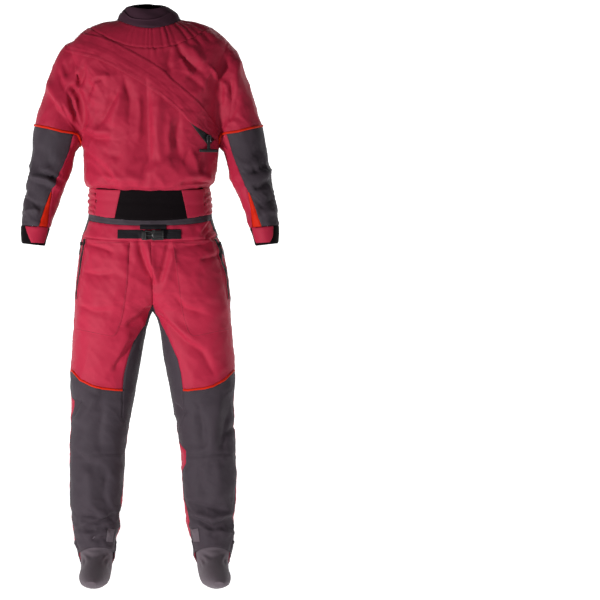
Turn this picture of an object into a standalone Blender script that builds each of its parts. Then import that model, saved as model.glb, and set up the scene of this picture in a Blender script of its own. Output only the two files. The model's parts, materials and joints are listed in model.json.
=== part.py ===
"""A paddler's drysuit, filled out as if it were worn: metres, +Z up, the front faces -Y.

The origin is where the wearer's shoulders and neck hold the suit. The whole suit is one skin of rings: a torso
tube, two sleeves that leave it at the armholes, and two legs that meet at the crotch. The skin is cut along the
seams, and every panel is a wall of cloth made from its part of the skin. What lies on a panel, such as a flap, a
pocket or a zip, is a copy of the panel's own points moved outwards.
"""

import math
from collections import namedtuple

import bmesh
import bpy
from mathutils import Matrix, Vector

# ---------------------------------------------------------------- driving sizes
CLOTH = 0.0015  # wall of the laminated cloth
SEAM = 0.0003  # open gap between two panels at a seam
NEOPRENE = 0.0020  # wall of the stretch collar, waist and cuffs
CORNER_GAP = 9.0  # how much wider the gap gets where two panels meet at a corner
TRIM = 0.0012  # wall of tapes, pipings, tabs and pockets
LAYER_GAP = 0.0004  # air between a panel and what lies on it
COLUMNS = 24  # points round the torso and round each leg
SNAP = 0.22  # a corner this close to a seam, as a share of its edge, slides onto it

RIGHT, LEFT = -1, 1  # the wearer's sides: the right arm is at -X

# ---------------------------------------------------------------- rings of the torso, from the collar down
# Heights are given at the sides, the front centre and the back centre.
Ring = namedtuple("Ring", "side front back half_width front_depth back_depth power")
TORSO = (
    Ring(0.083, 0.074, 0.090, 0.055, 0.050, 0.047, 2.0),  # top edge of the collar
    Ring(0.063, 0.046, 0.072, 0.079, 0.066, 0.060, 2.0),
    Ring(0.044, 0.020, 0.052, 0.089, 0.078, 0.070, 2.0),  # neck seam
    Ring(0.038, -0.008, 0.030, 0.129, 0.092, 0.086, 2.0),
    Ring(0.024, -0.036, 0.002, 0.167, 0.103, 0.100, 2.1),  # lower edge of the drawcord tunnel
    Ring(0.003, -0.066, -0.032, 0.199, 0.112, 0.111, 2.2),
    Ring(-0.036, -0.100, -0.070, 0.229, 0.120, 0.119, 2.3),
    Ring(-0.085, -0.138, -0.108, 0.223, 0.127, 0.124, 2.4),
    Ring(-0.135, -0.178, -0.148, 0.216, 0.131, 0.127, 2.4),
    Ring(-0.190, -0.220, -0.190, 0.208, 0.133, 0.127, 2.4),  # seam across the back
    Ring(-0.248, -0.264, -0.244, 0.199, 0.134, 0.125, 2.4),
    Ring(-0.306, -0.308, -0.294, 0.191, 0.136, 0.124, 2.4),
    Ring(-0.350, -0.351, -0.332, 0.188, 0.140, 0.127, 2.4),
    Ring(-0.386, -0.391, -0.366, 0.183, 0.143, 0.132, 2.4),
    Ring(-0.413, -0.423, -0.392, 0.177, 0.138, 0.131, 2.4),
    Ring(-0.424, -0.434, -0.404, 0.169, 0.121, 0.116, 2.4),  # blouse seam, drawn in to the waist
    Ring(-0.461, -0.476, -0.443, 0.171, 0.120, 0.115, 2.4),
    Ring(-0.498, -0.518, -0.482, 0.173, 0.121, 0.117, 2.4),  # lower edge of the overskirt
)
NECK_ROW, TUNNEL_ROW, BACK_SEAM_ROW, BLOUSE_ROW = 2, 4, 9, 15

# The armhole is an oval seen from the side.
ARMHOLE_HEIGHT = -0.161
ARMHOLE_HALF_HEIGHT = 0.149
ARMHOLE_HALF_DEPTH = 0.076
ARMHOLE_BEHIND = 0.004

# ---------------------------------------------------------------- rings of a sleeve, from the armhole down
# Each ring runs from a point on the arm's outer line to one on its inner line, in the front view.
Cuff = namedtuple("Cuff", "outer_x outer_z inner_x inner_z centre_y depth")
SLEEVE = (
    Cuff(0.2370, -0.036, 0.1930, -0.306, 0.004, 0.077),
    Cuff(0.2575, -0.076, 0.1955, -0.310, 0.002, 0.078),
    Cuff(0.2725, -0.124, 0.1980, -0.314, 0.000, 0.077),
    Cuff(0.290, -0.178, 0.2005, -0.318, -0.002, 0.074),
    Cuff(0.304, -0.224, 0.2035, -0.322, -0.004, 0.071),
    Cuff(0.3160, -0.262, 0.2070, -0.327, -0.006, 0.069),  # orange piping
    Cuff(0.3240, -0.304, 0.2120, -0.346, -0.010, 0.067),
    Cuff(0.3300, -0.346, 0.2185, -0.374, -0.014, 0.064),
    Cuff(0.3360, -0.388, 0.2300, -0.407, -0.020, 0.060),
    Cuff(0.3440, -0.428, 0.2450, -0.440, -0.028, 0.056),
    Cuff(0.3510, -0.464, 0.2590, -0.472, -0.036, 0.052),
    Cuff(0.3560, -0.500, 0.2715, -0.507, -0.045, 0.048),
    Cuff(0.3590, -0.530, 0.2800, -0.537, -0.053, 0.044),  # end of the sleeve cloth
    Cuff(0.3600, -0.556, 0.2880, -0.563, -0.059, 0.041),
    Cuff(0.3570, -0.581, 0.2950, -0.588, -0.065, 0.037),  # open end of the cuff
)
PIPING_RING, CLOTH_RING = 5, 12
RUFFLE = 0.0045  # how far the gathers at the sides of the waist stand in and out
SHOULDER_SWELL = {RIGHT: 0.011, LEFT: 0.0}  # the right shoulder is filled out a little further

# Edges between the sleeve's pieces, as (z, distance from the middle) points
UNDER_FRONT = ((-0.25, 0.207), (-0.274, 0.212), (-0.356, 0.240), (-0.431, 0.273), (-0.529, 0.286), (-0.60, 0.292))
UNDER_BACK = ((-0.25, 0.200), (-0.28, 0.207), (-0.49, 0.291), (-0.529, 0.300), (-0.60, 0.305))
WEDGE_EDGE = ((-0.40, 0.2555), (-0.431, 0.274), (-0.529, 0.310), (-0.60, 0.330))

# ---------------------------------------------------------------- rings of a leg, from the waist down
Leg = namedtuple("Leg", "side front back inner outer front_depth back_depth power")
LEGS = (
    Leg(-0.514, -0.532, -0.504, -0.175, 0.175, 0.122, 0.120, 2.4),  # lower edge of the grey binding
    Leg(-0.560, -0.575, -0.538, -0.186, 0.190, 0.128, 0.129, 2.4),  # waistband seam
    Leg(-0.612, -0.622, -0.596, -0.168, 0.200, 0.129, 0.139, 2.4),
    Leg(-0.662, -0.669, -0.654, -0.128, 0.210, 0.128, 0.143, 2.4),
    Leg(-0.706, -0.710, -0.706, -0.078, 0.214, 0.125, 0.140, 2.4),
    Leg(-0.742, -0.744, -0.746, -0.034, 0.216, 0.120, 0.133, 2.4),
    Leg(-0.768, -0.769, -0.776, -0.001, 0.217, 0.115, 0.126, 2.4),
    Leg(-0.806, -0.806, -0.814, 0.0140, 0.2190, 0.110, 0.119, 2.3),
    Leg(-0.860, -0.860, -0.865, 0.0255, 0.2240, 0.105, 0.112, 2.3),
    Leg(-0.915, -0.915, -0.915, 0.0345, 0.2280, 0.100, 0.106, 2.3),
    Leg(-0.970, -0.970, -0.966, 0.0455, 0.2290, 0.096, 0.100, 2.3),
    Leg(-1.030, -1.030, -1.024, 0.0555, 0.2265, 0.092, 0.095, 2.2),
    Leg(-1.090, -1.090, -1.084, 0.0680, 0.2275, 0.089, 0.090, 2.2),
    Leg(-1.150, -1.150, -1.146, 0.0770, 0.2315, 0.087, 0.086, 2.2),
    Leg(-1.208, -1.206, -1.210, 0.0815, 0.2325, 0.083, 0.085, 2.2),
    Leg(-1.266, -1.262, -1.276, 0.0840, 0.2320, 0.078, 0.086, 2.2),
    Leg(-1.320, -1.310, -1.344, 0.0905, 0.2275, 0.073, 0.085, 2.2),
    Leg(-1.366, -1.352, -1.406, 0.0960, 0.2235, 0.069, 0.082, 2.2),
    Leg(-1.408, -1.392, -1.470, 0.1040, 0.2175, 0.065, 0.077, 2.2),
    Leg(-1.446, -1.430, -1.528, 0.1100, 0.2050, 0.060, 0.070, 2.2),  # hem
)
WAISTBAND_LEG_ROW, ANKLE_LEG_ROW = 1, 18
LEG_DIP = 1.3

# The suit hangs a little off its middle plane: (height, shift to the wearer's left) points
SWAY = ((0.09, -0.009), (0.03, 0.0), (-0.53, 0.0), (-0.68, 0.007), (-1.55, 0.009))
ANKLE_LEAN = ((-1.34, 0.0), (-1.44, 0.007), (-1.55, 0.011))  # the left ankle also leans outwards

# ---------------------------------------------------------------- rings of a sock, from the ankle to the toes
# Each ring runs from a point on the instep to one on the heel or sole, seen from the side.
Sock = namedtuple("Sock", "top_y top_z sole_y sole_z half_width")
SOCK = (
    Sock(-0.046, -1.432, 0.052, -1.490, 0.0425),
    Sock(-0.054, -1.450, 0.050, -1.520, 0.0415),
    Sock(-0.078, -1.466, 0.022, -1.535, 0.0420),
    Sock(-0.110, -1.482, -0.028, -1.541, 0.0425),
    Sock(-0.144, -1.497, -0.082, -1.544, 0.0380),
    Sock(-0.170, -1.510, -0.126, -1.543, 0.0290),
    Sock(-0.184, -1.520, -0.160, -1.539, 0.0170),
)
SOCK_CENTRE = 0.1585
TOE_OUT = {RIGHT: 0.0145, LEFT: 0.0145}  # the toes point this far outwards from the heel
SOCK_COLUMNS = 12
SOCK_INSET = 0.006  # the sock stands this far inside the hem

# ---------------------------------------------------------------- seams in the front view, as (x, z) points
FLAP_UPPER = ((-0.24, 0.020), (-0.182, 0.006), (-0.132, -0.006), (-0.056, -0.042), (0.025, -0.090),
              (0.060, -0.122), (0.106, -0.160), (0.141, -0.192), (0.188, -0.255), (0.21, -0.285))
FLAP_LOWER = ((-0.24, -0.044), (-0.179, -0.060), (-0.140, -0.071), (-0.056, -0.115), (0.014, -0.160),
              (0.084, -0.218), (0.118, -0.250), (0.160, -0.277), (0.21, -0.318))
ZIP_LINE = ((-0.24, -0.024), (-0.140, -0.052), (-0.056, -0.098), (0.014, -0.143), (0.084, -0.205),
            (0.118, -0.252), (0.140, -0.274), (0.172, -0.302))
ZIP_HALF_WIDTH = 0.012
ZIP_END_X = 0.168
WRAP_EDGE = ((-0.09, 0.086), (-0.074, 0.074), (-0.062, 0.056), (-0.040, 0.045), (-0.008, 0.043),
             (0.03, 0.050), (0.06, 0.070))
THIGH_SEAM = ((0.00, -0.991), (0.10, -0.990), (0.14, -0.986), (0.17, -0.978), (0.20, -0.962), (0.225, -0.936))
SEAT_SEAM = ((0.00, -0.918), (0.07, -0.917), (0.14, -0.908), (0.18, -0.890), (0.22, -0.868))
# Edges of the crotch gusset, as (z, distance from the middle) points
GUSSET_FRONT = ((-0.742, -0.006), (-0.770, 0.008), (-0.80, 0.020), (-0.843, 0.043), (-0.90, 0.068),
                (-0.946, 0.079), (-1.00, 0.085), (-1.06, 0.086), (-1.14, 0.066))
GUSSET_BACK = ((-0.744, -0.006), (-0.776, 0.008), (-0.85, 0.032), (-0.92, 0.048), (-1.00, 0.062),
               (-1.06, 0.070), (-1.14, 0.066))
GUSSET_END = -1.13
GUSSET_SEAM = 0.0007  # wider, because its ends lie across the sharp fold of the crotch
# The outer seam of the trousers: (z, y) points. At the hip it runs in front of the side, under the pocket zip.
OUTSEAM = ((-0.50, -0.041), (-0.735, -0.041), (-0.800, 0.0))
SEAT_ZIP_LINE = ((-0.215, -0.858), (-0.196, -0.837), (-0.110, -0.752), (-0.006, -0.661), (0.056, -0.622),
                 (0.108, -0.590), (0.150, -0.530), (0.172, -0.470))
SEAT_ZIP_HALF_WIDTH = 0.021
POCKET = ((0.055, -0.588), (0.212, -0.588), (0.222, -0.640), (0.226, -0.822), (0.122, -0.842), (0.106, -0.842),
          (0.096, -0.834), (0.086, -0.812), (0.068, -0.697))
WAIST_TAB = ((0.086, -0.440), (0.088, -0.436), (0.154, -0.436), (0.154, -0.512), (0.103, -0.507), (0.096, -0.500))

# ---------------------------------------------------------------- hard pieces
# A slider is a channel on the zip; its pull hangs in the channel from a barrel.
# Each has a pivot, the turn of its outward direction from the front, and its sizes.
Slider = namedtuple("Slider", "length width base ear ear_height")
ENTRY_SLIDER = Slider(0.018, 0.0140, 0.0022, 0.0014, 0.0060)
POCKET_SLIDER = Slider(0.010, 0.0078, 0.0016, 0.0010, 0.0042)
PULL_CLEARANCE, PULL_HEEL = 0.0003, 0.0005
SLOPE_REACH = 0.036
T_BAR_LENGTH, T_BAR_HEIGHT, T_STRAP_LENGTH, T_THICKNESS = 0.066, 0.009, 0.034, 0.0032
TAB_LENGTH, TAB_WIDTH, TAB_THICKNESS = 0.034, 0.0048, 0.0020
BELT = (-0.090, 0.086, -0.569, -0.543)  # left, right, bottom, top of the webbing in the front view
BELT_HANGER = (-0.028, 0.045, -0.5432, -0.529)
BUCKLE_CENTRE = (0.0085, -0.5585)
BUCKLE_THICKNESS = 0.011

# ---------------------------------------------------------------- the largest folds
# A fold is a soft ridge, or a trough where its height is negative, between two points of one view.
Fold = namedtuple("Fold", "view x0 z0 x1 z1 width height")
FRONT, BACK = -1, 1
FOLD_FADE = 0.04  # over this depth a fold of one view fades out at the side of the suit
FOLDS = (
    Fold(FRONT, -0.008, -0.16, -0.004, -0.31, 0.022, -0.010),
    Fold(FRONT, 0.032, -0.18, 0.026, -0.29, 0.020, 0.006),
    Fold(FRONT, -0.105, -0.21, -0.135, -0.27, 0.026, -0.007),
    Fold(FRONT, 0.110, -0.06, 0.165, -0.15, 0.026, 0.008),
    Fold(FRONT, -0.165, -0.35, -0.070, -0.41, 0.026, 0.007),
    Fold(BACK, -0.035, -0.06, 0.075, -0.24, 0.030, -0.010),
    Fold(BACK, -0.120, -0.16, -0.030, -0.22, 0.030, 0.008),
    Fold(FRONT, -0.320, -0.385, -0.255, -0.420, 0.022, 0.009),
    Fold(FRONT, 0.335, -0.375, 0.270, -0.425, 0.022, 0.009),
    Fold(FRONT, -0.022, -0.60, -0.004, -0.71, 0.022, -0.008),
    Fold(FRONT, 0.062, -0.61, 0.030, -0.70, 0.022, 0.007),
    Fold(FRONT, -0.205, -1.335, -0.110, -1.350, 0.020, -0.008),
    Fold(FRONT, 0.205, -1.345, 0.120, -1.330, 0.020, -0.008),
    Fold(BACK, -0.210, -1.075, -0.090, -1.085, 0.024, 0.009),
    Fold(BACK, 0.200, -1.05, 0.080, -1.08, 0.024, 0.009),
    Fold(BACK, 0.200, -1.40, 0.110, -1.37, 0.024, 0.007),
)

# ---------------------------------------------------------------- colours
Finish = namedtuple("Finish", "colour roughness")
FINISHES = {
    "red_cloth": Finish((0.42, 0.018, 0.045), 0.55),
    "grey_cloth": Finish((0.075, 0.068, 0.075), 0.60),
    "orange_cloth": Finish((0.72, 0.045, 0.010), 0.55),
    "plum_neoprene": Finish((0.060, 0.040, 0.052), 0.75),
    "black_neoprene": Finish((0.008, 0.007, 0.009), 0.80),
    "black_webbing": Finish((0.016, 0.015, 0.018), 0.70),
    "black_zip": Finish((0.014, 0.014, 0.015), 0.35),
    "black_plastic": Finish((0.018, 0.018, 0.019), 0.40),
    "grey_sock": Finish((0.070, 0.066, 0.070), 0.75),
}


# ================================================================ small helpers
def along(points, at):
    """The value of a line of (position, value) points, straight between them and level beyond them."""
    ordered = sorted(points)
    if at <= ordered[0][0]:
        return ordered[0][1]
    for (a, first), (b, second) in zip(ordered, ordered[1:]):
        if at <= b:
            return first + (second - first) * (at - a) / (b - a)
    return ordered[-1][1]


def signed_power(value, power):
    """value raised to a power with its sign kept, which squares off a circle's cosine and sine."""
    return math.copysign(abs(value) ** power, value)


def side_word(side):
    return "left" if side == LEFT else "right"


def signed_distance(points, x, z):
    """Distance from a line of (x, z) points, above zero on its upper side. Its ends run on straight."""
    best = None
    for i, ((x0, z0), (x1, z1)) in enumerate(zip(points, points[1:])):
        run_x, run_z = x1 - x0, z1 - z0
        length = math.hypot(run_x, run_z)
        share = ((x - x0) * run_x + (z - z0) * run_z) / length**2
        if i > 0:
            share = max(0.0, share)
        if i < len(points) - 2:
            share = min(1.0, share)
        away = math.hypot(x - x0 - run_x * share, z - z0 - run_z * share)
        side = 1 if run_x * (z - z0) - run_z * (x - x0) > 0 else -1
        if best is None or away < abs(best):
            best = away * side
    return best


def fold_height(point):
    """How far all the folds move a point of the skin outwards."""
    total = 0.0
    for fold in FOLDS:
        facing = min(1.0, max(0.0, 0.5 + point.y * fold.view / FOLD_FADE))
        start, end = Vector((fold.x0, fold.z0)), Vector((fold.x1, fold.z1))
        run = end - start
        here = Vector((point.x, point.z)) - start
        share = here.dot(run) / run.length_squared
        beyond = max(0.0, -share, share - 1) * run.length
        across = (here - run * min(1.0, max(0.0, share))).length if beyond else abs(here.cross(run)) / run.length
        total += facing * fold.height * math.exp(-((across / fold.width) ** 2) - (beyond / fold.width) ** 2)
    return total


# ================================================================ the skin
def torso_point(ring, angle, dip=2.0):
    """A point of a torso ring. Angle 0 is the front centre and a quarter turn the wearer's left side.

    The dip tells how the height goes over from the sides to the front and back: 1 is a straight slope.
    """
    cosine, sine = math.cos(angle), math.sin(angle)
    in_front = cosine > 0
    depth = ring.front_depth if in_front else ring.back_depth
    end_height = ring.front if in_front else ring.back
    return Vector((
        ring.half_width * signed_power(sine, 2 / ring.power),
        -depth * signed_power(cosine, 2 / ring.power),
        ring.side + (end_height - ring.side) * abs(cosine) ** dip,
    ))


def leg_point(ring, angle, side):
    """A point of a leg ring. Above the crotch the ring runs past the middle plane, where it is trimmed."""
    centre, half_width = (ring.inner + ring.outer) / 2, (ring.outer - ring.inner) / 2
    shape = Ring(ring.side, ring.front, ring.back, half_width, ring.front_depth, ring.back_depth, ring.power)
    point = torso_point(shape, angle, dip=LEG_DIP)
    point.x = side * (point.x + centre)
    return point


def add_rings(bm, rings, marks, closed=True):
    """Joins rings of vertices with faces, and notes on each face the tube, row and column it belongs to."""
    tube, row, column = (bm.faces.layers.int.get(name) for name in ("tube", "row", "column"))
    for r, (upper, lower) in enumerate(zip(rings, rings[1:])):
        count = len(upper)
        for c in range(count if closed else count - 1):
            following = (c + 1) % count
            face = bm.faces.new((upper[c], lower[c], lower[following], upper[following]))
            face[tube], face[row], face[column] = marks, r, c


TUBE_TORSO, TUBE_ARM, TUBE_LEG = 0, 10, 20  # plus RIGHT or LEFT for the arms and legs


def ring_angles(count=COLUMNS):
    return [2 * math.pi * c / count for c in range(count)]


def armhole_value(point):
    """Below zero inside the armhole's oval, above zero outside it, in metres."""
    reach = math.hypot(
        (point.y - ARMHOLE_BEHIND) / ARMHOLE_HALF_DEPTH, (point.z - ARMHOLE_HEIGHT) / ARMHOLE_HALF_HEIGHT
    )
    return (reach - 1) * ARMHOLE_HALF_DEPTH


def crossing_pair(face, value):
    """The two corners on the seam between which a face is to be split, or None."""
    corners = list(face.verts)
    on_line = [i for i, v in enumerate(corners) if value[v] == 0]
    for a in on_line:
        for b in on_line:
            first = [value[v] for v in corners[a + 1 : b]]
            second = [value[v] for v in corners[b + 1 :] + corners[:a]]
            if a < b and first and second and sum(first) * sum(second) < 0:
                return corners[a], corners[b]
    return None


def each_edge(faces):
    """Every edge of some faces once, always in the same order."""
    return list(dict.fromkeys(edge for face in faces for edge in face.edges))


def cut_along(bm, faces, measure, snap=SNAP):
    """Splits the faces where measure(point) is zero. A corner close to that line slides along its edge onto it."""
    value = {v: measure(v.co) for f in faces for v in f.verts}
    edges = each_edge(faces)
    slides = {}
    for edge in edges:
        a, b = edge.verts
        if value[a] * value[b] < 0:
            share = value[a] / (value[a] - value[b])
            for vert, other, near in ((a, b, share), (b, a, 1 - share)):
                if near < snap and near < slides.get(vert, (1.0, None))[0]:
                    slides[vert] = (near, vert.co.lerp(other.co, near))
    for vert, (_, place) in slides.items():
        vert.co = place
        value[vert] = 0.0
    for edge in edges:
        a, b = edge.verts
        if value[a] * value[b] < 0:
            _, made = bmesh.utils.edge_split(edge, a, value[a] / (value[a] - value[b]))
            value[made] = 0.0
    for face in [f for f in faces if f.is_valid]:
        pair = crossing_pair(face, value)
        if pair:
            bmesh.utils.face_split(face, *pair)


def faces_of(bm, tube, test=None):
    layer = bm.faces.layers.int.get("tube")
    return [f for f in bm.faces if f[layer] == tube and (test is None or test(f))]


def make_torso(bm):
    """The torso tube with its armholes open. Returns its rings."""
    rings = [[bm.verts.new(torso_point(ring, angle)) for angle in ring_angles()] for ring in TORSO]
    add_rings(bm, rings, TUBE_TORSO)
    for side in (RIGHT, LEFT):
        near = faces_of(bm, TUBE_TORSO, lambda f: f.calc_center_median().x * side > 0.12)
        cut_along(bm, near, armhole_value)
        inside = faces_of(
            bm, TUBE_TORSO,
            lambda f: f.calc_center_median().x * side > 0.15 and armhole_value(f.calc_center_median()) < 0,
        )
        bmesh.ops.delete(bm, geom=inside, context="FACES")
    return rings


def armhole_loop(bm, side):
    """The armhole's vertices in order round the arm, each with its angle from the top of the shoulder."""
    verts = {
        v for e in bm.edges if e.is_boundary for v in e.verts
        if v.co.x * side > 0.15 and abs(armhole_value(v.co)) < 0.004
    }
    placed = []
    for vert in verts:
        up = (vert.co.z - ARMHOLE_HEIGHT) / ARMHOLE_HALF_HEIGHT
        behind = (vert.co.y - ARMHOLE_BEHIND) / ARMHOLE_HALF_DEPTH
        placed.append((math.atan2(behind, up) % (2 * math.pi), vert))
    placed.sort(key=lambda item: item[0])
    return placed


def sleeve_point(ring, angle, side):
    """A point of a sleeve ring. Angle 0 is the arm's outer line, a quarter turn its back, a half turn inside."""
    swell = SHOULDER_SWELL[side] * max(0.0, min(1.0, (ring.outer_z + 0.34) / 0.12))
    outer = Vector((ring.outer_x + swell, 0, ring.outer_z))
    inner = Vector((ring.inner_x, 0, ring.inner_z))
    point = (outer + inner) / 2 + (outer - inner) / 2 * math.cos(angle)
    point.y = ring.centre_y + ring.depth * math.sin(angle)
    point.x *= side
    return point


def make_sleeve(bm, side):
    loop = armhole_loop(bm, side)
    if side == RIGHT:
        loop = loop[::-1]
    rings = [[vert for _, vert in loop]]
    for ring in SLEEVE:
        rings.append([bm.verts.new(sleeve_point(ring, angle, side)) for angle, _ in loop])
    add_rings(bm, rings, TUBE_ARM + side)


def make_leg(bm, side, waist):
    """A leg tube trimmed at the middle plane. Its first ring is the torso's lowest one."""
    angles = ring_angles()
    if side == RIGHT:
        waist = [waist[-c % COLUMNS] for c in range(COLUMNS)]
    rings = [[bm.verts.new(vert.co) for vert in waist]]
    for ring in LEGS:
        rings.append([bm.verts.new(leg_point(ring, angle, side)) for angle in angles])
    if side == RIGHT:
        rings = [ring[::-1] for ring in rings]
    add_rings(bm, rings, TUBE_LEG + side)
    faces = faces_of(bm, TUBE_LEG + side)
    geometry = list(dict.fromkeys(item for f in faces for item in (*f.verts, *f.edges, f)))
    bmesh.ops.bisect_plane(
        bm, geom=geometry, dist=1e-5, plane_co=(0, 0, 0), plane_no=(-side, 0, 0), clear_outer=True
    )


def in_front(face):
    return face.calc_center_median().y < 0


def front_line(points, mirrored=False):
    """A measure of how far a point lies above a seam line of the front view."""
    return lambda p: p.z - along(points, abs(p.x) if mirrored else p.x)


def is_leg_front(face):
    """True in front of the outseam on the outer side of a leg, and in front of the inseam on its inner side."""
    centre = face.calc_center_median()
    outer_side = abs(centre.x) > along(((-0.5, 0.10), (-0.8, 0.12), (-1.45, 0.16)), centre.z)
    return centre.y < (along(OUTSEAM, centre.z) if outer_side else 0)


def ruffle_waist(bm):
    """Gathers the cloth at both sides of the waist into small ruffles between more rows of points."""
    row = bm.faces.layers.int.get("row")
    sides = faces_of(bm, TUBE_TORSO, lambda f: f[row] in (BLOUSE_ROW, BLOUSE_ROW + 1) and is_waist_side(f))
    upright = [e for e in each_edge(sides) if abs((e.verts[0].co - e.verts[1].co).z) > 0.02]
    bmesh.ops.subdivide_edges(bm, edges=upright, cuts=2, use_grid_fill=True)
    sides = faces_of(bm, TUBE_TORSO, lambda f: f[row] in (BLOUSE_ROW, BLOUSE_ROW + 1) and is_waist_side(f))
    inner = {v for f in sides for v in f.verts if all(g in sides for g in v.link_faces)}
    levels = sorted({round(v.co.z, 2) for v in inner})
    for vert in inner:
        swing = 1 if levels.index(round(vert.co.z, 2)) % 2 else -1
        vert.co.x += math.copysign(RUFFLE * swing, vert.co.x)


WAIST_SIDE_COLUMNS = (4, 5, 6, 7)  # columns from 60 to 120 degrees round from the front


def is_waist_side(face):
    column = face[COLUMN_LAYER[0]]
    return column in WAIST_SIDE_COLUMNS or COLUMNS - 1 - column in WAIST_SIDE_COLUMNS


COLUMN_LAYER = []


def make_skin():
    """The whole suit as one open skin of triangles, cut along its seams, with the outward direction stored."""
    bm = bmesh.new()
    for name in ("tube", "row", "column"):
        bm.faces.layers.int.new(name)
    COLUMN_LAYER.append(bm.faces.layers.int.get("column"))
    rings = make_torso(bm)
    for side in (RIGHT, LEFT):
        make_sleeve(bm, side)
        make_leg(bm, side, rings[-1])
    bmesh.ops.remove_doubles(bm, verts=bm.verts, dist=2e-5)
    cut_seams(bm)
    ruffle_waist(bm)
    bmesh.ops.remove_doubles(bm, verts=bm.verts, dist=5e-4)
    bmesh.ops.triangulate(bm, faces=bm.faces)
    store_places(bm)
    return bm


def store_places(bm, folded=True):
    """Stores where each point of the plain skin goes once it is folded and hangs, and its outward direction."""
    place, out = (bm.verts.layers.float_vector.new(name) for name in ("place", "out"))
    bm.normal_update()
    plain = {vert: Vector(vert.co) for vert in bm.verts}
    for vert in bm.verts:
        away = Vector(vert.normal)
        if abs(vert.co.x) < 1e-5:
            away.x = 0
        spot = vert.co + away * (fold_height(vert.co) if folded else 0)
        spot.x += along(SWAY, spot.z) if abs(spot.x) < 0.24 else 0
        spot.x += along(ANKLE_LEAN, spot.z) if spot.x > 0.05 else 0
        vert[place] = spot
    for vert in bm.verts:
        vert.co = vert[place]
    bm.normal_update()
    for vert in bm.verts:
        vert[out] = vert.normal
        vert.co = plain[vert]
    bm.normal_update()


def cut_seams(bm):
    row = bm.faces.layers.int.get("row")
    front = faces_of(bm, TUBE_TORSO, lambda f: in_front(f) and TUNNEL_ROW <= f[row] < BLOUSE_ROW)
    cut_along(bm, front, front_line(ZIP_LINE))
    for side in (RIGHT, LEFT):
        leg, arm = TUBE_LEG + side, TUBE_ARM + side
        outer = faces_of(bm, leg, lambda f: -0.80 < f.calc_center_median().z and near_outseam(f))
        cut_along(bm, outer, lambda p: p.y - along(OUTSEAM, p.z))
        cut_along(bm, faces_of(bm, leg, is_leg_front), front_line(THIGH_SEAM, mirrored=True))
        cut_along(bm, faces_of(bm, leg, lambda f: not is_leg_front(f)), front_line(SEAT_SEAM, mirrored=True))
        for in_half, edge in ((in_front, GUSSET_FRONT), (lambda f: not in_front(f), GUSSET_BACK)):
            span = faces_of(bm, leg, lambda f: in_half(f) and GUSSET_END - 0.02 < f.calc_center_median().z < -0.74)
            cut_along(bm, span, lambda p: along(edge, p.z) - abs(p.x))
        for in_half, edge in ((True, UNDER_FRONT), (False, UNDER_BACK), (True, WEDGE_EDGE)):
            lower = -0.425 if edge is WEDGE_EDGE else -0.25
            span = faces_of(
                bm, arm,
                lambda f: PIPING_RING < f[row] <= CLOTH_RING and arm_front(f, f[row]) == in_half
                and f.calc_center_median().z < lower,
            )
            cut_along(bm, span, lambda p: along(edge, p.z) - abs(p.x))


def near_outseam(face):
    centre = face.calc_center_median()
    return abs(centre.x) > 0.12 and -0.10 < centre.y < 0.04


def arm_front(face, row):
    """True for the front half of a sleeve."""
    upper, lower = SLEEVE[max(0, row - 1)], SLEEVE[row]
    return face.calc_center_median().y < (upper.centre_y + lower.centre_y) / 2


# ================================================================ solids from the skin
def material(name):
    found = bpy.data.materials.get(name)
    if found:
        return found
    made = bpy.data.materials.new(name)
    made.use_nodes = True
    shader = made.node_tree.nodes["Principled BSDF"]
    shader.inputs["Base Color"].default_value = (*FINISHES[name].colour, 1)
    shader.inputs["Roughness"].default_value = FINISHES[name].roughness
    return made


def add_object(name, bm, finish):
    mesh = bpy.data.meshes.new(name)
    bm.to_mesh(mesh)
    bm.free()
    mesh.materials.append(material(finish))
    made = bpy.data.objects.new(name, mesh)
    SUIT.objects.link(made)
    return made


def region(skin, test):
    """A copy of the skin that keeps only the faces that pass the test."""
    skin.faces.index_update()
    kept = {f.index for f in skin.faces if test(f)}
    bm = skin.copy()
    bmesh.ops.delete(bm, geom=[f for f in bm.faces if f.index not in kept], context="FACES")
    return bm


def draw_in(bm, distance):
    """Moves the open edges of a panel inwards along its surface, so that a seam has a gap.

    Where the skin turns a sharp corner at the seam, the edge is drawn in further.
    """
    out = bm.verts.layers.float_vector.get("out")
    moves = {}
    for edge in [e for e in bm.edges if e.is_boundary]:
        face = edge.link_faces[0]
        run = (edge.verts[1].co - edge.verts[0].co).normalized()
        inward = face.normal.cross(run)
        if inward.dot(face.calc_center_median() - edge.verts[0].co) < 0:
            inward.negate()
        for vert in edge.verts:
            moves.setdefault(vert, []).append(inward)
    for vert, pushes in moves.items():
        total = sum(pushes, Vector())
        sharpness = max(0.35, total.length_squared / len(pushes) ** 2)
        turned = 1 - max(0.0, vert.normal.dot(Vector(vert[out])))
        vert.co += total / len(pushes) / sharpness * distance * (1 + CORNER_GAP * turned)


def wall(name, bm, finish, inner, outer, gap=SEAM / 2):
    """The solid between two distances from the skin, with its edges drawn in by the gap."""
    bmesh.ops.dissolve_degenerate(bm, dist=2e-4, edges=bm.edges)
    bmesh.ops.triangulate(bm, faces=bm.faces)
    place = bm.verts.layers.float_vector.get("place")
    for vert in bm.verts:
        vert.co = vert[place]
    bm.normal_update()
    draw_in(bm, gap)
    out = bm.verts.layers.float_vector.get("out")
    far = bm.verts.layers.float_vector.new("far")
    for vert in bm.verts:
        vert[far] = vert.co + Vector(vert[out]) * outer
        vert.co += Vector(vert[out]) * inner
    made = bmesh.ops.extrude_face_region(bm, geom=bm.faces[:])
    for item in made["geom"]:
        if isinstance(item, bmesh.types.BMVert):
            item.co = item[far]
    bmesh.ops.recalc_face_normals(bm, faces=bm.faces)
    return add_object(name, bm, finish)


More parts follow.
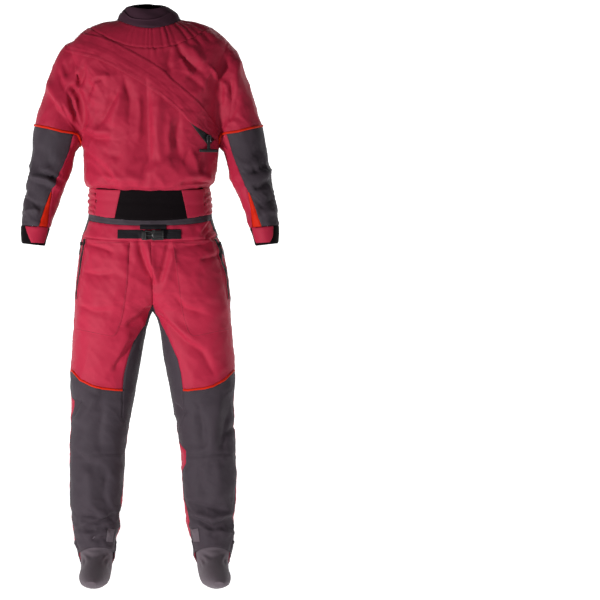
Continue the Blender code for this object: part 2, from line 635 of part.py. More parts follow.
def panel(name, skin, finish, test, thickness=CLOTH, gap=SEAM / 2):
    return wall(name, region(skin, test), finish, -thickness / 2, thickness / 2, gap)


def overlay(name, bm, finish, layer=1, thickness=TRIM, lift=0.0):
    """A piece that lies on a panel: a copy of the panel's points moved out past what it lies on."""
    start = CLOTH / 2 + LAYER_GAP + (layer - 1) * (TRIM + LAYER_GAP) + lift
    return wall(name, bm, finish, start, start + thickness, gap=0.0)


def clip(bm, point, normal):
    """Keeps what lies behind a plane, given by a point on it and the direction of what goes."""
    bmesh.ops.bisect_plane(
        bm, geom=[*bm.verts, *bm.edges, *bm.faces], dist=1e-6, plane_co=point, plane_no=normal, clear_outer=True
    )


def clip_to_outline(bm, corners, side):
    """Keeps what lies inside a convex outline of the front view, given as (distance from the middle, z)."""
    middle_x = sum(x for x, _ in corners) / len(corners)
    middle_z = sum(z for _, z in corners) / len(corners)
    for (x0, z0), (x1, z1) in zip(corners, corners[1:] + corners[:1]):
        away = Vector((-(z1 - z0), 0, x1 - x0))
        if away.dot(Vector((x0 - middle_x, 0, z0 - middle_z))) < 0:
            away.negate()
        clip(bm, (side * x0, 0, z0), (side * away.x, 0, away.z))


def clip_along(bm, measure):
    """Keeps what lies where measure(point) is above zero."""
    cut_along(bm, bm.faces[:], measure, snap=0.0)
    gone = [f for f in bm.faces if measure(f.calc_center_median()) < 0]
    bmesh.ops.delete(bm, geom=gone, context="FACES")


def clip_strip(bm, line, half_width, mirrored_line=None):
    """Keeps the strip along a line of the front view that reaches half_width to either side of it."""
    def offset(point):
        if mirrored_line:
            return signed_distance(mirrored_line, abs(point.x), point.z)
        return signed_distance(line, point.x, point.z)

    clip_along(bm, lambda p: half_width - offset(p))
    clip_along(bm, lambda p: half_width + offset(p))


def drop_islands(bm):
    """Keeps the largest patch of joined faces."""
    left, best = set(bm.faces), set()
    while left:
        queue = [left.pop()]
        island = set(queue)
        while queue:
            near = {other for edge in queue.pop().edges for other in edge.link_faces} & left
            left -= near
            island |= near
            queue.extend(near)
        if sum(f.calc_area() for f in island) > sum(f.calc_area() for f in best):
            best = island
    bmesh.ops.delete(bm, geom=[f for f in bm.faces if f not in best], context="FACES")


# ================================================================ hard pieces
def prism(name, finish, outline, depth, frame):
    """A solid pulled from an outline of (u, v) corners over a depth along w, set in a frame of three directions."""
    bm = bmesh.new()
    low = [bm.verts.new((u, v, 0)) for u, v in outline]
    high = [bm.verts.new((u, v, depth)) for u, v in outline]
    bm.faces.new(low[::-1])
    bm.faces.new(high)
    for i in range(len(outline)):
        n = (i + 1) % len(outline)
        bm.faces.new((low[i], low[n], high[n], high[i]))
    bmesh.ops.recalc_face_normals(bm, faces=bm.faces)
    made = add_object(name, bm, finish)
    made.matrix_world = frame
    return made


def set_frame(origin, u, v):
    """The matrix that puts u, v and their cross product at an origin."""
    u, v = Vector(u).normalized(), Vector(v).normalized()
    w = u.cross(v)
    return Matrix(((u.x, v.x, w.x, origin[0]), (u.y, v.y, w.y, origin[1]), (u.z, v.z, w.z, origin[2]), (0, 0, 0, 1)))


def surface_point(obj, place, outward):
    """Where a straight line towards the suit first meets a piece, or None if it misses."""
    start = place + outward * 0.2
    hit, point, _, _ = obj.ray_cast(start, -outward)
    return point if hit else None


def make_slider_and_pull(name, tape, place, turn, sizes, pull_outline, pull_thickness):
    """A channel-shaped slider on a zip tape, and the pull that swings out of the channel.

    Both lie flat on the tape: its slope is measured from the slider's place to one a little lower.
    """
    facing = Vector((math.sin(turn), -math.cos(turn), 0))
    sideways = Vector((math.cos(turn), math.sin(turn), 0))
    seat = surface_point(tape, place, facing)
    lower = surface_point(tape, place - Vector((0, 0, SLOPE_REACH)), facing)
    upwards = (seat - lower).normalized() if lower else Vector((0, 0, 1))
    outward = sideways.cross(upwards) * -1
    if outward.dot(facing) < 0:
        outward.negate()
    upwards = (upwards - sideways * upwards.dot(sideways)).normalized()
    corners = [surface_point(tape, seat + sideways * a + upwards * b, outward)
               for a in (-sizes.width / 2, 0, sizes.width / 2) for b in (-sizes.length / 2, 0, sizes.length / 2)]
    stand = max((p - seat).dot(outward) for p in corners if p) + LAYER_GAP
    top = seat + outward * stand + upwards * sizes.length / 2
    half, inner = sizes.width / 2, sizes.width / 2 - sizes.ear
    channel = (
        (-half, 0), (half, 0), (half, sizes.ear_height), (inner, sizes.ear_height), (inner, sizes.base),
        (-inner, sizes.base), (-inner, sizes.ear_height), (-half, sizes.ear_height),
    )
    prism(f"{name}_slider", "black_plastic", channel, sizes.length, set_frame(top, sideways, outward))
    pivot = top + outward * (sizes.base + PULL_CLEARANCE + pull_thickness / 2) - upwards * 0.003
    pull = prism(f"{name}_pull", "black_plastic", pull_outline, pull_thickness, Matrix())
    pull.data.transform(set_frame((0, 0, 0), sideways, upwards) @ Matrix.Translation((0, 0, -pull_thickness / 2)))
    pull.matrix_world = Matrix.Translation(pivot)


def t_outline(strap_half, strap_length, bar_half, bar_height):
    chamfer = bar_height * 0.25
    top, bottom = -strap_length, -strap_length - bar_height
    right = (
        (strap_half, PULL_HEEL), (strap_half, top), (bar_half - chamfer, top), (bar_half, top - chamfer),
        (bar_half, bottom + chamfer), (bar_half - chamfer, bottom),
    )
    return tuple(right) + tuple((-u, v) for u, v in right[::-1])


def make_hardware():
    inner = ENTRY_SLIDER.width / 2 - ENTRY_SLIDER.ear - PULL_CLEARANCE
    t_shape = t_outline(inner, T_STRAP_LENGTH, T_BAR_LENGTH / 2, T_BAR_HEIGHT)
    place = Vector((0.168, -0.10, -0.2900))
    make_slider_and_pull("entry", SUIT.objects["entry_zip"], place, math.radians(38), ENTRY_SLIDER, t_shape,
                         T_THICKNESS)
    inner = POCKET_SLIDER.width / 2 - POCKET_SLIDER.ear - PULL_CLEARANCE
    tab = ((inner, PULL_HEEL), (inner, -TAB_LENGTH + 0.001), (inner - 0.001, -TAB_LENGTH),
           (0.001 - inner, -TAB_LENGTH), (-inner, 0.001 - TAB_LENGTH), (-inner, PULL_HEEL))
    for side in (RIGHT, LEFT):
        tape = SUIT.objects[f"pocket_zip_{side_word(side)}"]
        place = Vector((side * 0.195, -0.0410, -0.582))
        make_slider_and_pull(f"pocket_{side_word(side)}", tape, place, side * math.radians(62), POCKET_SLIDER,
                             tab, TAB_THICKNESS)
    make_buckle()


def make_buckle():
    """A side-release buckle: its plan has the socket at the right and the two prongs of the plug at the left."""
    upper = (
        (-0.0310, 0.0115), (-0.0200, 0.0135), (-0.0185, 0.0105), (-0.0080, 0.0105), (-0.0065, 0.0145),
        (0.0060, 0.0155), (0.0085, 0.0130), (0.0280, 0.0140), (0.0300, 0.0120),
    )
    outline = upper[::-1] + tuple((x, -z) for x, z in upper)
    belt = SUIT.objects["belt"]
    front = min(v.co.y for v in belt.data.vertices if abs(v.co.x - BUCKLE_CENTRE[0]) < 0.04)
    origin = (BUCKLE_CENTRE[0], front - LAYER_GAP, BUCKLE_CENTRE[1])
    prism("buckle", "black_plastic", outline, BUCKLE_THICKNESS, set_frame(origin, (1, 0, 0), (0, 0, 1)))


# ================================================================ the pieces
def make_collar(skin, tube, row):
    def collar(test=lambda f: True):
        return lambda f: f[tube] == TUBE_TORSO and f[row] < NECK_ROW and test(f)

    panel("collar_band", skin, "plum_neoprene", collar(), NEOPRENE)

    wrap = region(skin, collar(in_front))
    clip_along(wrap, lambda p: along(WRAP_EDGE, p.x) - p.z)
    drop_islands(wrap)
    overlay("collar_wrap", wrap, "plum_neoprene", thickness=NEOPRENE, lift=0.0004)

    tab = region(skin, collar(lambda f: not in_front(f)))
    clip(tab, (0.004, 0, 0), (-1, 0, 0))
    clip(tab, (0, 0.004, 0), (0, -1, 0))
    overlay("collar_tab", tab, "black_neoprene", thickness=NEOPRENE, lift=0.0004)

    gasket = region(skin, collar())
    wall("neck_gasket", gasket, "black_neoprene", -NEOPRENE * 2 - SEAM, -NEOPRENE / 2 - SEAM, gap=0.0)


def make_top(skin, tube, row):
    def torso(first, last, test=lambda f: True):
        return lambda f: f[tube] == TUBE_TORSO and first <= f[row] < last and test(f)

    above_zip = front_line(ZIP_LINE)
    panel("neck_tunnel", skin, "red_cloth", torso(NECK_ROW, TUNNEL_ROW))
    panel("front_upper", skin, "red_cloth", torso(
        TUNNEL_ROW, BLOUSE_ROW, lambda f: in_front(f) and above_zip(f.calc_center_median()) > 0))
    panel("front_lower", skin, "red_cloth", torso(
        TUNNEL_ROW, BLOUSE_ROW, lambda f: in_front(f) and above_zip(f.calc_center_median()) <= 0))
    panel("back_upper", skin, "red_cloth", torso(TUNNEL_ROW, BACK_SEAM_ROW, lambda f: not in_front(f)))
    panel("back_lower", skin, "red_cloth", torso(BACK_SEAM_ROW, BLOUSE_ROW, lambda f: not in_front(f)))

    chest = torso(TUNNEL_ROW, BLOUSE_ROW, in_front)
    zip_tape = region(skin, chest)
    clip_strip(zip_tape, ZIP_LINE, ZIP_HALF_WIDTH)
    clip(zip_tape, (ZIP_END_X, 0, 0), (1, 0, 0))
    drop_islands(zip_tape)
    overlay("entry_zip", zip_tape, "black_zip")

    flap = region(skin, chest)
    clip_along(flap, front_line(FLAP_LOWER))
    clip_along(flap, lambda p: -front_line(FLAP_UPPER)(p))
    drop_islands(flap)
    overlay("entry_flap", flap, "red_cloth", layer=2)


def make_sleeve_pieces(skin, tube, row, side):
    word = side_word(side)
    arm = TUBE_ARM + side
    below_piping = PIPING_RING + 1

    def sleeve(first, last, test=lambda f: True):
        return lambda f: f[tube] == arm and first <= f[row] < last and test(f)

    def is_under(face):
        centre = face.calc_center_median()
        edge = UNDER_FRONT if arm_front(face, face[row]) else UNDER_BACK
        return abs(centre.x) < along(edge, centre.z)

    def is_wedge(face):
        centre = face.calc_center_median()
        in_band = centre.z < -0.42 and arm_front(face, face[row])
        return in_band and not is_under(face) and abs(centre.x) < along(WEDGE_EDGE, centre.z)

    panel(f"sleeve_upper_{word}", skin, "red_cloth", sleeve(0, below_piping))
    panel(f"sleeve_under_{word}", skin, "red_cloth", sleeve(below_piping, CLOTH_RING + 1, is_under))
    panel(f"sleeve_wedge_{word}", skin, "orange_cloth", sleeve(below_piping, CLOTH_RING + 1, is_wedge))
    panel(f"sleeve_outer_{word}", skin, "grey_cloth", sleeve(
        below_piping, CLOTH_RING + 1, lambda f: not is_under(f) and not is_wedge(f)))
    panel(f"cuff_{word}", skin, "black_neoprene", sleeve(CLOTH_RING + 1, len(SLEEVE)), NEOPRENE)

    tab = region(skin, sleeve(CLOTH_RING + 1, len(SLEEVE), lambda f: arm_front(f, f[row])))
    clip(tab, (side * 0.347, 0, -0.56), (side, 0, -0.10))
    clip(tab, (side * 0.340, 0, -0.578), (side, 0, -1))
    drop_islands(tab)
    overlay(f"cuff_tab_{word}", tab, "red_cloth", lift=0.0004)

    ring = SLEEVE[PIPING_RING]
    piping = region(skin, sleeve(PIPING_RING, PIPING_RING + 2))
    swell = SHOULDER_SWELL[side] * max(0.0, min(1.0, (ring.outer_z + 0.34) / 0.12))
    outer = Vector((side * (ring.outer_x + swell), 0, ring.outer_z))
    across = outer - Vector((side * ring.inner_x, 0, ring.inner_z))
    upwards = Vector((-across.z, 0, across.x)).normalized() * side
    clip(piping, outer + upwards * 0.0026, upwards)
    clip(piping, outer - upwards * 0.0026, -upwards)
    overlay(f"sleeve_piping_{word}", piping, "orange_cloth", thickness=0.0018)


def make_waist(skin, tube, row):
    def waist(test):
        return lambda f: f[tube] == TUBE_TORSO and f[row] >= BLOUSE_ROW and test(f)

    panel("waist_front", skin, "black_neoprene", waist(lambda f: in_front(f) and not is_waist_side(f)), CLOTH)
    panel("waist_back", skin, "plum_neoprene", waist(lambda f: not in_front(f) and not is_waist_side(f)), CLOTH)
    for side in (RIGHT, LEFT):
        word = side_word(side)
        panel(f"waist_side_{word}", skin, "red_cloth", waist(
            lambda f: is_waist_side(f) and f.calc_center_median().x * side > 0))
        tab = region(skin, waist(lambda f: in_front(f) and f.calc_center_median().x * side > 0.04))
        clip_to_outline(tab, WAIST_TAB, side)
        overlay(f"waist_tab_{word}", tab, "red_cloth", lift=0.0004)


def make_trousers(skin, tube, row):
    thigh, seat_line = front_line(THIGH_SEAM, mirrored=True), front_line(SEAT_SEAM, mirrored=True)
    below_band = WAISTBAND_LEG_ROW + 1

    def is_gusset(face):
        centre = face.calc_center_median()
        edge = GUSSET_FRONT if in_front(face) else GUSSET_BACK
        return GUSSET_END < centre.z and abs(centre.x) < along(edge, centre.z)

    def leg(test, sides=(RIGHT, LEFT)):
        tubes = [TUBE_LEG + side for side in sides]
        return lambda f: f[tube] in tubes and test(f)

    panel("waist_binding", skin, "grey_cloth", leg(lambda f: f[row] < 1 and is_leg_front(f)))
    panel("waistband", skin, "red_cloth", leg(lambda f: 1 <= f[row] < below_band and is_leg_front(f)))
    panel("crotch_gusset", skin, "grey_cloth", leg(is_gusset), gap=GUSSET_SEAM)
    panel("seat", skin, "grey_cloth", leg(
        lambda f: not is_leg_front(f) and not is_gusset(f) and seat_line(f.calc_center_median()) > 0))
    for side in (RIGHT, LEFT):
        word, own = side_word(side), (side,)
        panel(f"trouser_front_{word}", skin, "red_cloth", leg(
            lambda f: is_leg_front(f) and f[row] >= below_band and not is_gusset(f)
            and thigh(f.calc_center_median()) > 0, own))
        panel(f"shin_{word}", skin, "grey_cloth", leg(
            lambda f: is_leg_front(f) and not is_gusset(f) and thigh(f.calc_center_median()) <= 0, own))
        panel(f"calf_{word}", skin, "red_cloth", leg(
            lambda f: not is_leg_front(f) and not is_gusset(f) and seat_line(f.calc_center_median()) <= 0, own))
        make_leg_overlays(skin, leg, side)

    seat_zip = region(skin, leg(lambda f: not is_leg_front(f) and f.calc_center_median().z > -0.90))
    clip_strip(seat_zip, SEAT_ZIP_LINE, SEAT_ZIP_HALF_WIDTH)
    drop_islands(seat_zip)
    overlay("seat_zip", seat_zip, "black_zip")

    front = region(skin, leg(lambda f: is_leg_front(f) and f[row] < below_band))
    for line in (BELT[0], BELT[1], BELT_HANGER[0], BELT_HANGER[1]):
        cut_along(front, front.faces[:], lambda p: p.x - line, snap=0.0)
    for line in (BELT[2], BELT[3], BELT_HANGER[3]):
        cut_along(front, front.faces[:], lambda p: p.z - line, snap=0.0)
    gone = [f for f in front.faces if not on_belt(f.calc_center_median())]
    bmesh.ops.delete(front, geom=gone, context="FACES")
    overlay("belt", front, "black_webbing", thickness=0.0018)


def on_belt(point):
    in_strap = BELT[0] < point.x < BELT[1] and BELT[2] < point.z < BELT[3]
    in_hanger = BELT_HANGER[0] < point.x < BELT_HANGER[1] and BELT[3] <= point.z < BELT_HANGER[3]
    return in_strap or in_hanger


def make_leg_overlays(skin, leg, side):
    word, own = side_word(side), (side,)
    pocket = region(skin, leg(lambda f: is_leg_front(f) and -0.88 < f.calc_center_median().z < -0.56, own))
    clip_to_outline(pocket, POCKET, side)
    clip(pocket, (0, -0.0545, 0), (0, 1, 0))
    drop_islands(pocket)
    overlay(f"pocket_{word}", pocket, "red_cloth")

    tape = region(skin, leg(lambda f: -0.77 < f.calc_center_median().z < -0.54 and near_outseam(f), own))
    clip(tape, (0, -0.0500, -0.568), (0, -1, 0))
    clip(tape, (0, -0.0320, -0.568), (0, 1, 0))
    clip(tape, (0, 0, -0.568), (0, 0, 1))
    clip(tape, (0, 0, -0.738), (0, 0, -1))
    drop_islands(tape)
    overlay(f"pocket_zip_{word}", tape, "black_zip")

    piping = region(skin, leg(lambda f: is_leg_front(f) and -1.06 < f.calc_center_median().z < -0.90, own))
    clip_strip(piping, tuple((side * x, z) for x, z in THIGH_SEAM)[::side], 0.0026, THIGH_SEAM)
    clip(piping, (side * 0.084, 0, 0), (-side, 0, 0))
    drop_islands(piping)
    overlay(f"thigh_piping_{word}", piping, "orange_cloth", thickness=0.0018)

    strap = region(skin, leg(lambda f: not is_leg_front(f) and f.calc_center_median().z < -1.36, own))
    clip(strap, (0, 0.075, -1.462), (0, 0.50, 1.0))
    clip(strap, (0, 0.075, -1.506), (0, -0.50, -1.0))
    drop_islands(strap)
    overlay(f"ankle_strap_{word}", strap, "grey_cloth")


def sock_point(ring, angle, side):
    top, sole = Vector((0, ring.top_y, ring.top_z)), Vector((0, ring.sole_y, ring.sole_z))
    point = (top + sole) / 2 + (top - sole) / 2 * math.cos(angle)
    toe_share = min(1.0, max(0.0, -point.y / 0.18))
    point.x = side * (SOCK_CENTRE + TOE_OUT[side] * toe_share + ring.half_width * math.sin(angle))
    return point


def inset(ring, by):
    """A leg ring made smaller all round."""
    return ring._replace(
        inner=ring.inner + by, outer=ring.outer - by,
        front_depth=ring.front_depth - by, back_depth=ring.back_depth - by,
    )


def make_sock(side):
    """A foot-shaped sock. Its top ring lies just inside the leg, where it is sewn in."""
    bm = bmesh.new()
    angles = ring_angles(SOCK_COLUMNS)
    upper, hem = LEGS[ANKLE_LEG_ROW], LEGS[ANKLE_LEG_ROW + 1]
    partway = Leg(*(a + (b - a) * 0.35 for a, b in zip(upper, hem)))
    rings = [
        [bm.verts.new(leg_point(inset(ring, by), angle, side)) for angle in angles]
        for ring, by in ((upper, CLOTH + SEAM), (partway, SOCK_INSET))
    ]
    for ring in SOCK:
        rings.append([bm.verts.new(sock_point(ring, angle, side)) for angle in angles])
    for upper, lower in zip(rings, rings[1:]):
        for c in range(SOCK_COLUMNS):
            n = (c + 1) % SOCK_COLUMNS
            bm.faces.new((upper[c], lower[c], lower[n], upper[n]))
    toe = bm.verts.new(sum((v.co for v in rings[-1]), Vector()) / SOCK_COLUMNS + Vector((0, -0.004, -0.002)))
    for c in range(SOCK_COLUMNS):
        bm.faces.new((rings[-1][c], toe, rings[-1][(c + 1) % SOCK_COLUMNS]))
    bmesh.ops.triangulate(bm, faces=bm.faces)
    bmesh.ops.recalc_face_normals(bm, faces=bm.faces)
    bm.normal_update()
    if bm.faces[0].normal.dot(bm.faces[0].calc_center_median() - toe.co) < 0:
        bmesh.ops.reverse_faces(bm, faces=bm.faces)
        bm.normal_update()
    store_places(bm, folded=False)
    wall(f"sock_{side_word(side)}", bm, "grey_sock", -CLOTH / 2, CLOTH / 2, gap=0.0)


# ================================================================ build
for old in list(bpy.data.objects):
    bpy.data.objects.remove(old)
SUIT = bpy.data.collections.new("drysuit")
bpy.context.scene.collection.children.link(SUIT)


def main():
    skin = make_skin()
    tube, row = (skin.faces.layers.int.get(name) for name in ("tube", "row"))
    make_collar(skin, tube, row)
    make_top(skin, tube, row)
    for side in (RIGHT, LEFT):
        make_sleeve_pieces(skin, tube, row, side)
        make_sock(side)
    make_waist(skin, tube, row)
    make_trousers(skin, tube, row)
    make_hardware()
    skin.free()


main()
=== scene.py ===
# %% [markdown]
# # A paddler's drysuit
# A drysuit keeps a paddler dry in cold water. It is cut from stiff laminated cloth, with stretchy
# foamed rubber at the collar, waist and cuffs. This lesson dresses a finished CAD model of one: the
# CAD solids are plain rigid walls, and here every panel becomes a thin sheet with its folds, seams,
# stitches, zips and finishes. The suit stands as it does when worn, with nobody in it.

# %% Open the frame
import json
import math

import bpy
import numpy as np
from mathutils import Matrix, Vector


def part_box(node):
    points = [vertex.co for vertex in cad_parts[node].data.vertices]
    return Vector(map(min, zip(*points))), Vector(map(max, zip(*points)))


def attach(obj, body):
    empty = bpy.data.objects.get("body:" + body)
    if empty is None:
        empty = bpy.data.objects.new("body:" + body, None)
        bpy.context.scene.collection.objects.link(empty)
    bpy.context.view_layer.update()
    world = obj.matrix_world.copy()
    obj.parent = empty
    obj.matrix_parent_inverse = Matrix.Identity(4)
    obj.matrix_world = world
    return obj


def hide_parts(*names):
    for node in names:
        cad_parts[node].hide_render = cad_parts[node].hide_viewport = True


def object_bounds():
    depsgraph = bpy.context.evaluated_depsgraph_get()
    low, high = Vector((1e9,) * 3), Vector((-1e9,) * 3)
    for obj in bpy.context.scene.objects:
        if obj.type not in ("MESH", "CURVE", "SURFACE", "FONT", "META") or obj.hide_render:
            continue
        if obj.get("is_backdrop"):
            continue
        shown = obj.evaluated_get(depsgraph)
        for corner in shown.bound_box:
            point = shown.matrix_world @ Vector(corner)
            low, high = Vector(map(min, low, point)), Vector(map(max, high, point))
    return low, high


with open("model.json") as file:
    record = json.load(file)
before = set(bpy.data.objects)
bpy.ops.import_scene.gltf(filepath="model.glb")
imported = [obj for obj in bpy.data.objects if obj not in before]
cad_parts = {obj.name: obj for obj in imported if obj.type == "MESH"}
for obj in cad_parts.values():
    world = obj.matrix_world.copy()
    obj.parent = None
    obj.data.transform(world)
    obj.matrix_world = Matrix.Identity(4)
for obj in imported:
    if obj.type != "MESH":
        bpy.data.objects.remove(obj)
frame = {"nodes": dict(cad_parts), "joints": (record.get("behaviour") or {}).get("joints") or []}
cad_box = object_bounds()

# %% [markdown]
# ## Camera, floor and light
# The suit is seen straight from the front, at the height of its middle, from twenty-four metres away. The
# view is shifted sideways, so that the suit stands in the left half of the picture. The light is a
# panel at the left, in front and as low as the shins, so folds show a light and a dark side and the
# shoulders stay dim. The floor is pale and plain. Its glow grows from weak in front of the suit to
# full strength just before it and behind it.

# %% Set up the camera, the floor and the lamps
scene = bpy.context.scene


def add_object(name, data):
    """A new object in the scene."""
    made = bpy.data.objects.new(name, data)
    scene.collection.objects.link(made)
    return made


eye = bpy.data.cameras.new("front_view")
eye.lens, eye.sensor_width, eye.shift_x = 514.2857, 36, 0.25
camera = add_object("front_view", eye)
camera.location, camera.rotation_euler = (0, -24, -0.739), (math.radians(90), 0, 0)
scene.camera = camera

# the floor runs level from the camera's side to a wall behind, through a quarter circle
FLOOR_HEIGHT = cad_box[0][2] - 0.003  # just under the soles
NEAR, BACK, BEND, WALL, HALF_WIDTH = -40.0, 30.0, 4, 24.0, 50
sweep = [(NEAR, 0.0), (BACK, 0.0)]
sweep += [(BACK + BEND * math.sin(a), BEND - BEND * math.cos(a)) for a in np.linspace(0.1, math.pi / 2, 16)]
sweep.append((BACK + BEND, WALL))
corners = [(x, y, FLOOR_HEIGHT + z) for y, z in sweep for x in (-HALF_WIDTH, HALF_WIDTH)]
floor_mesh = bpy.data.meshes.new("floor")
floor_mesh.from_pydata(corners, [], [(2 * k, 2 * k + 1, 2 * k + 3, 2 * k + 2) for k in range(len(sweep) - 1)])
floor_mesh.polygons.foreach_set("use_smooth", [True] * len(floor_mesh.polygons))
floor = add_object("floor", floor_mesh)
floor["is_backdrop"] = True
paint = bpy.data.materials.new("pale_floor")
paint.use_nodes = True
paint_face = paint.node_tree.nodes["Principled BSDF"]
paint_face.inputs["Base Color"].default_value = (0.9, 0.9, 0.9, 1)
paint_face.inputs["Roughness"].default_value = 0.95
paint_face.inputs["Emission Color"].default_value = (1, 1, 1, 1)
floor_place = paint.node_tree.nodes.new("ShaderNodeTexCoord")
floor_axes = paint.node_tree.nodes.new("ShaderNodeSeparateXYZ")
glow = paint.node_tree.nodes.new("ShaderNodeMapRange")
for socket, value in (("From Min", -1.4), ("From Max", -0.85), ("To Min", 0.2), ("To Max", 0.96)):
    glow.inputs[socket].default_value = value
paint.node_tree.links.new(floor_place.outputs["Object"], floor_axes.inputs["Vector"])
paint.node_tree.links.new(floor_axes.outputs["Y"], glow.inputs["Value"])
paint.node_tree.links.new(glow.outputs["Result"], paint_face.inputs["Emission Strength"])
floor_mesh.materials.append(paint)

world = bpy.data.worlds.new("studio")
world.use_nodes = True
world.node_tree.nodes["Background"].inputs["Color"].default_value = (1, 1, 1, 1)
world.node_tree.nodes["Background"].inputs["Strength"].default_value = 0.13
scene.world = world


def lamp(name, place, aim, size, power, spread=180):
    """A square area light of that size at a place, turned so that its face looks at aim. Its light is
    strongest straight ahead, and fades to none at half the spread, in degrees, as 1 - tan(angle) / tan(spread
    / 2)."""
    light = bpy.data.lights.new(name, "AREA")
    light.shape, light.size, light.energy, light.spread = "SQUARE", size, power, math.radians(spread)
    made = add_object(name, light)
    made.location = place
    away = np.subtract(place, aim)
    flat = math.hypot(away[0], away[1])
    made.rotation_euler = (math.atan2(flat, away[2]), 0, math.atan2(away[0], -away[1]))


lamp("key_panel", (-2.7, -3.1, -1.29), (0, 0, -0.62), 0.5, 16.9, spread=62)
lamp("fill_panel", (3.2, -3.6, -0.8), (0, 0, -0.9), 2.2, 7)
lamp("rim_panel", (1.5, 3.2, 1.8), (0, 0, -0.6), 1.8, 22)
scene.view_settings.view_transform = "Standard"
print("camera", tuple(camera.location), "lights", 3)

# %% [markdown]
# ## The suit as three kinds of tube
# A tailor thinks of a suit as tubes: a torso, two sleeves and two legs, each with a girth that
# changes from ring to ring. The tables give every ring by a few sizes, and a smooth curve runs
# through them. A torso or leg ring is a rounded box seen from above, a superellipse, and its height
# dips towards the front and back. A sleeve ring is an ellipse between a point on the arm's outer
# line and one on its inner line.

# %% Ring tables, in millimetres
def in_metres(rows, plain=0):
    """A table of millimetres as an array of metres. The last few columns may be plain numbers."""
    table = np.array(rows, float)
    table[:, :table.shape[1] - plain] /= 1000
    return table


# height at the sides, front and back, half width, depth in front, depth behind, power of the oval
TORSO = in_metres((
    (83, 74, 90, 55, 50, 47, 2),  # top edge of the collar
    (63, 46, 72, 79, 66, 60, 2),
    (44, 20, 52, 89, 78, 70, 2),  # neck seam
    (38, -8, 30, 129, 92, 86, 2),
    (24, -36, 2, 167, 103, 100, 2.1),  # lower edge of the drawcord tunnel
    (3, -66, -32, 199, 112, 111, 2.2),
    (-36, -100, -70, 229, 120, 119, 2.3),
    (-85, -138, -108, 223, 127, 124, 2.4),
    (-135, -178, -148, 216, 131, 127, 2.4),
    (-190, -220, -190, 208, 133, 127, 2.4),
    (-248, -264, -244, 199, 134, 125, 2.4),
    (-306, -308, -294, 191, 136, 124, 2.4),
    (-350, -351, -332, 188, 140, 127, 2.4),
    (-386, -391, -366, 183, 143, 132, 2.4),
    (-413, -423, -392, 177, 138, 131, 2.4),
    (-424, -434, -404, 169, 121, 116, 2.4),  # blouse seam, drawn in to the waist
    (-461, -476, -443, 171, 120, 115, 2.4),
    (-498, -518, -482, 173, 121, 117, 2.4),  # lower edge of the overskirt
), plain=1)
NECK, TUNNEL, BLOUSE, SKIRT = 2, 4, 15, 17
# outer x, outer z, inner x, inner z, middle y, half depth
SLEEVE = in_metres((
    (237, -36, 193, -306, 4, 77),
    (257.5, -76, 195.5, -310, 2, 78),
    (272.5, -124, 198, -314, 0, 77),
    (290, -178, 200.5, -318, -2, 74),
    (304, -224, 203.5, -322, -4, 71),
    (316, -262, 207, -327, -6, 69),  # orange piping
    (324, -304, 212, -346, -10, 67),
    (330, -346, 218.5, -374, -14, 64),
    (336, -388, 230, -407, -20, 60),
    (344, -428, 245, -440, -28, 56),
    (351, -464, 259, -472, -36, 52),
    (356, -500, 271.5, -507, -45, 48),
    (359, -530, 280, -537, -53, 44),  # end of the sleeve cloth
    (360, -556, 288, -563, -59, 41),
    (357, -581, 295, -588, -65, 37),  # open end of the cuff
))
PIPING, CLOTH_END, CUFF_END = 5, 12, 14
# height at the sides, front and back, inner x, outer x, depth in front, depth behind, power
LEGS = in_metres((
    (-492, -510, -476, -171, 171, 119, 115, 2.4),  # under the overskirt's edge
    (-514, -532, -504, -175, 175, 122, 120, 2.4),  # lower edge of the grey binding
    (-560, -575, -538, -186, 190, 128, 129, 2.4),  # waistband seam
    (-612, -622, -596, -168, 200, 129, 139, 2.4),
    (-662, -669, -654, -128, 210, 128, 143, 2.4),
    (-706, -710, -706, -78, 214, 125, 140, 2.4),
    (-742, -744, -746, -34, 216, 120, 133, 2.4),
    (-768, -769, -776, -1, 217, 115, 126, 2.4),
    (-806, -806, -814, 14, 219, 110, 119, 2.3),
    (-860, -860, -865, 25.5, 224, 105, 112, 2.3),
    (-915, -915, -915, 34.5, 228, 100, 106, 2.3),
    (-970, -970, -966, 45.5, 229, 96, 100, 2.3),
    (-1030, -1030, -1024, 55.5, 226.5, 92, 95, 2.2),
    (-1090, -1090, -1084, 68, 227.5, 89, 90, 2.2),
    (-1150, -1150, -1146, 77, 231.5, 87, 86, 2.2),
    (-1208, -1206, -1210, 81.5, 232.5, 83, 85, 2.2),
    (-1266, -1262, -1276, 84, 232, 78, 86, 2.2),
    (-1320, -1310, -1344, 90.5, 227.5, 73, 85, 2.2),
    (-1366, -1352, -1406, 96, 223.5, 69, 82, 2.2),
    (-1408, -1392, -1470, 104, 217.5, 65, 77, 2.2),
    (-1446, -1430, -1528, 110, 205, 60, 70, 2.2),  # hem
), plain=1)
WAISTBAND, HEM = 2, 20
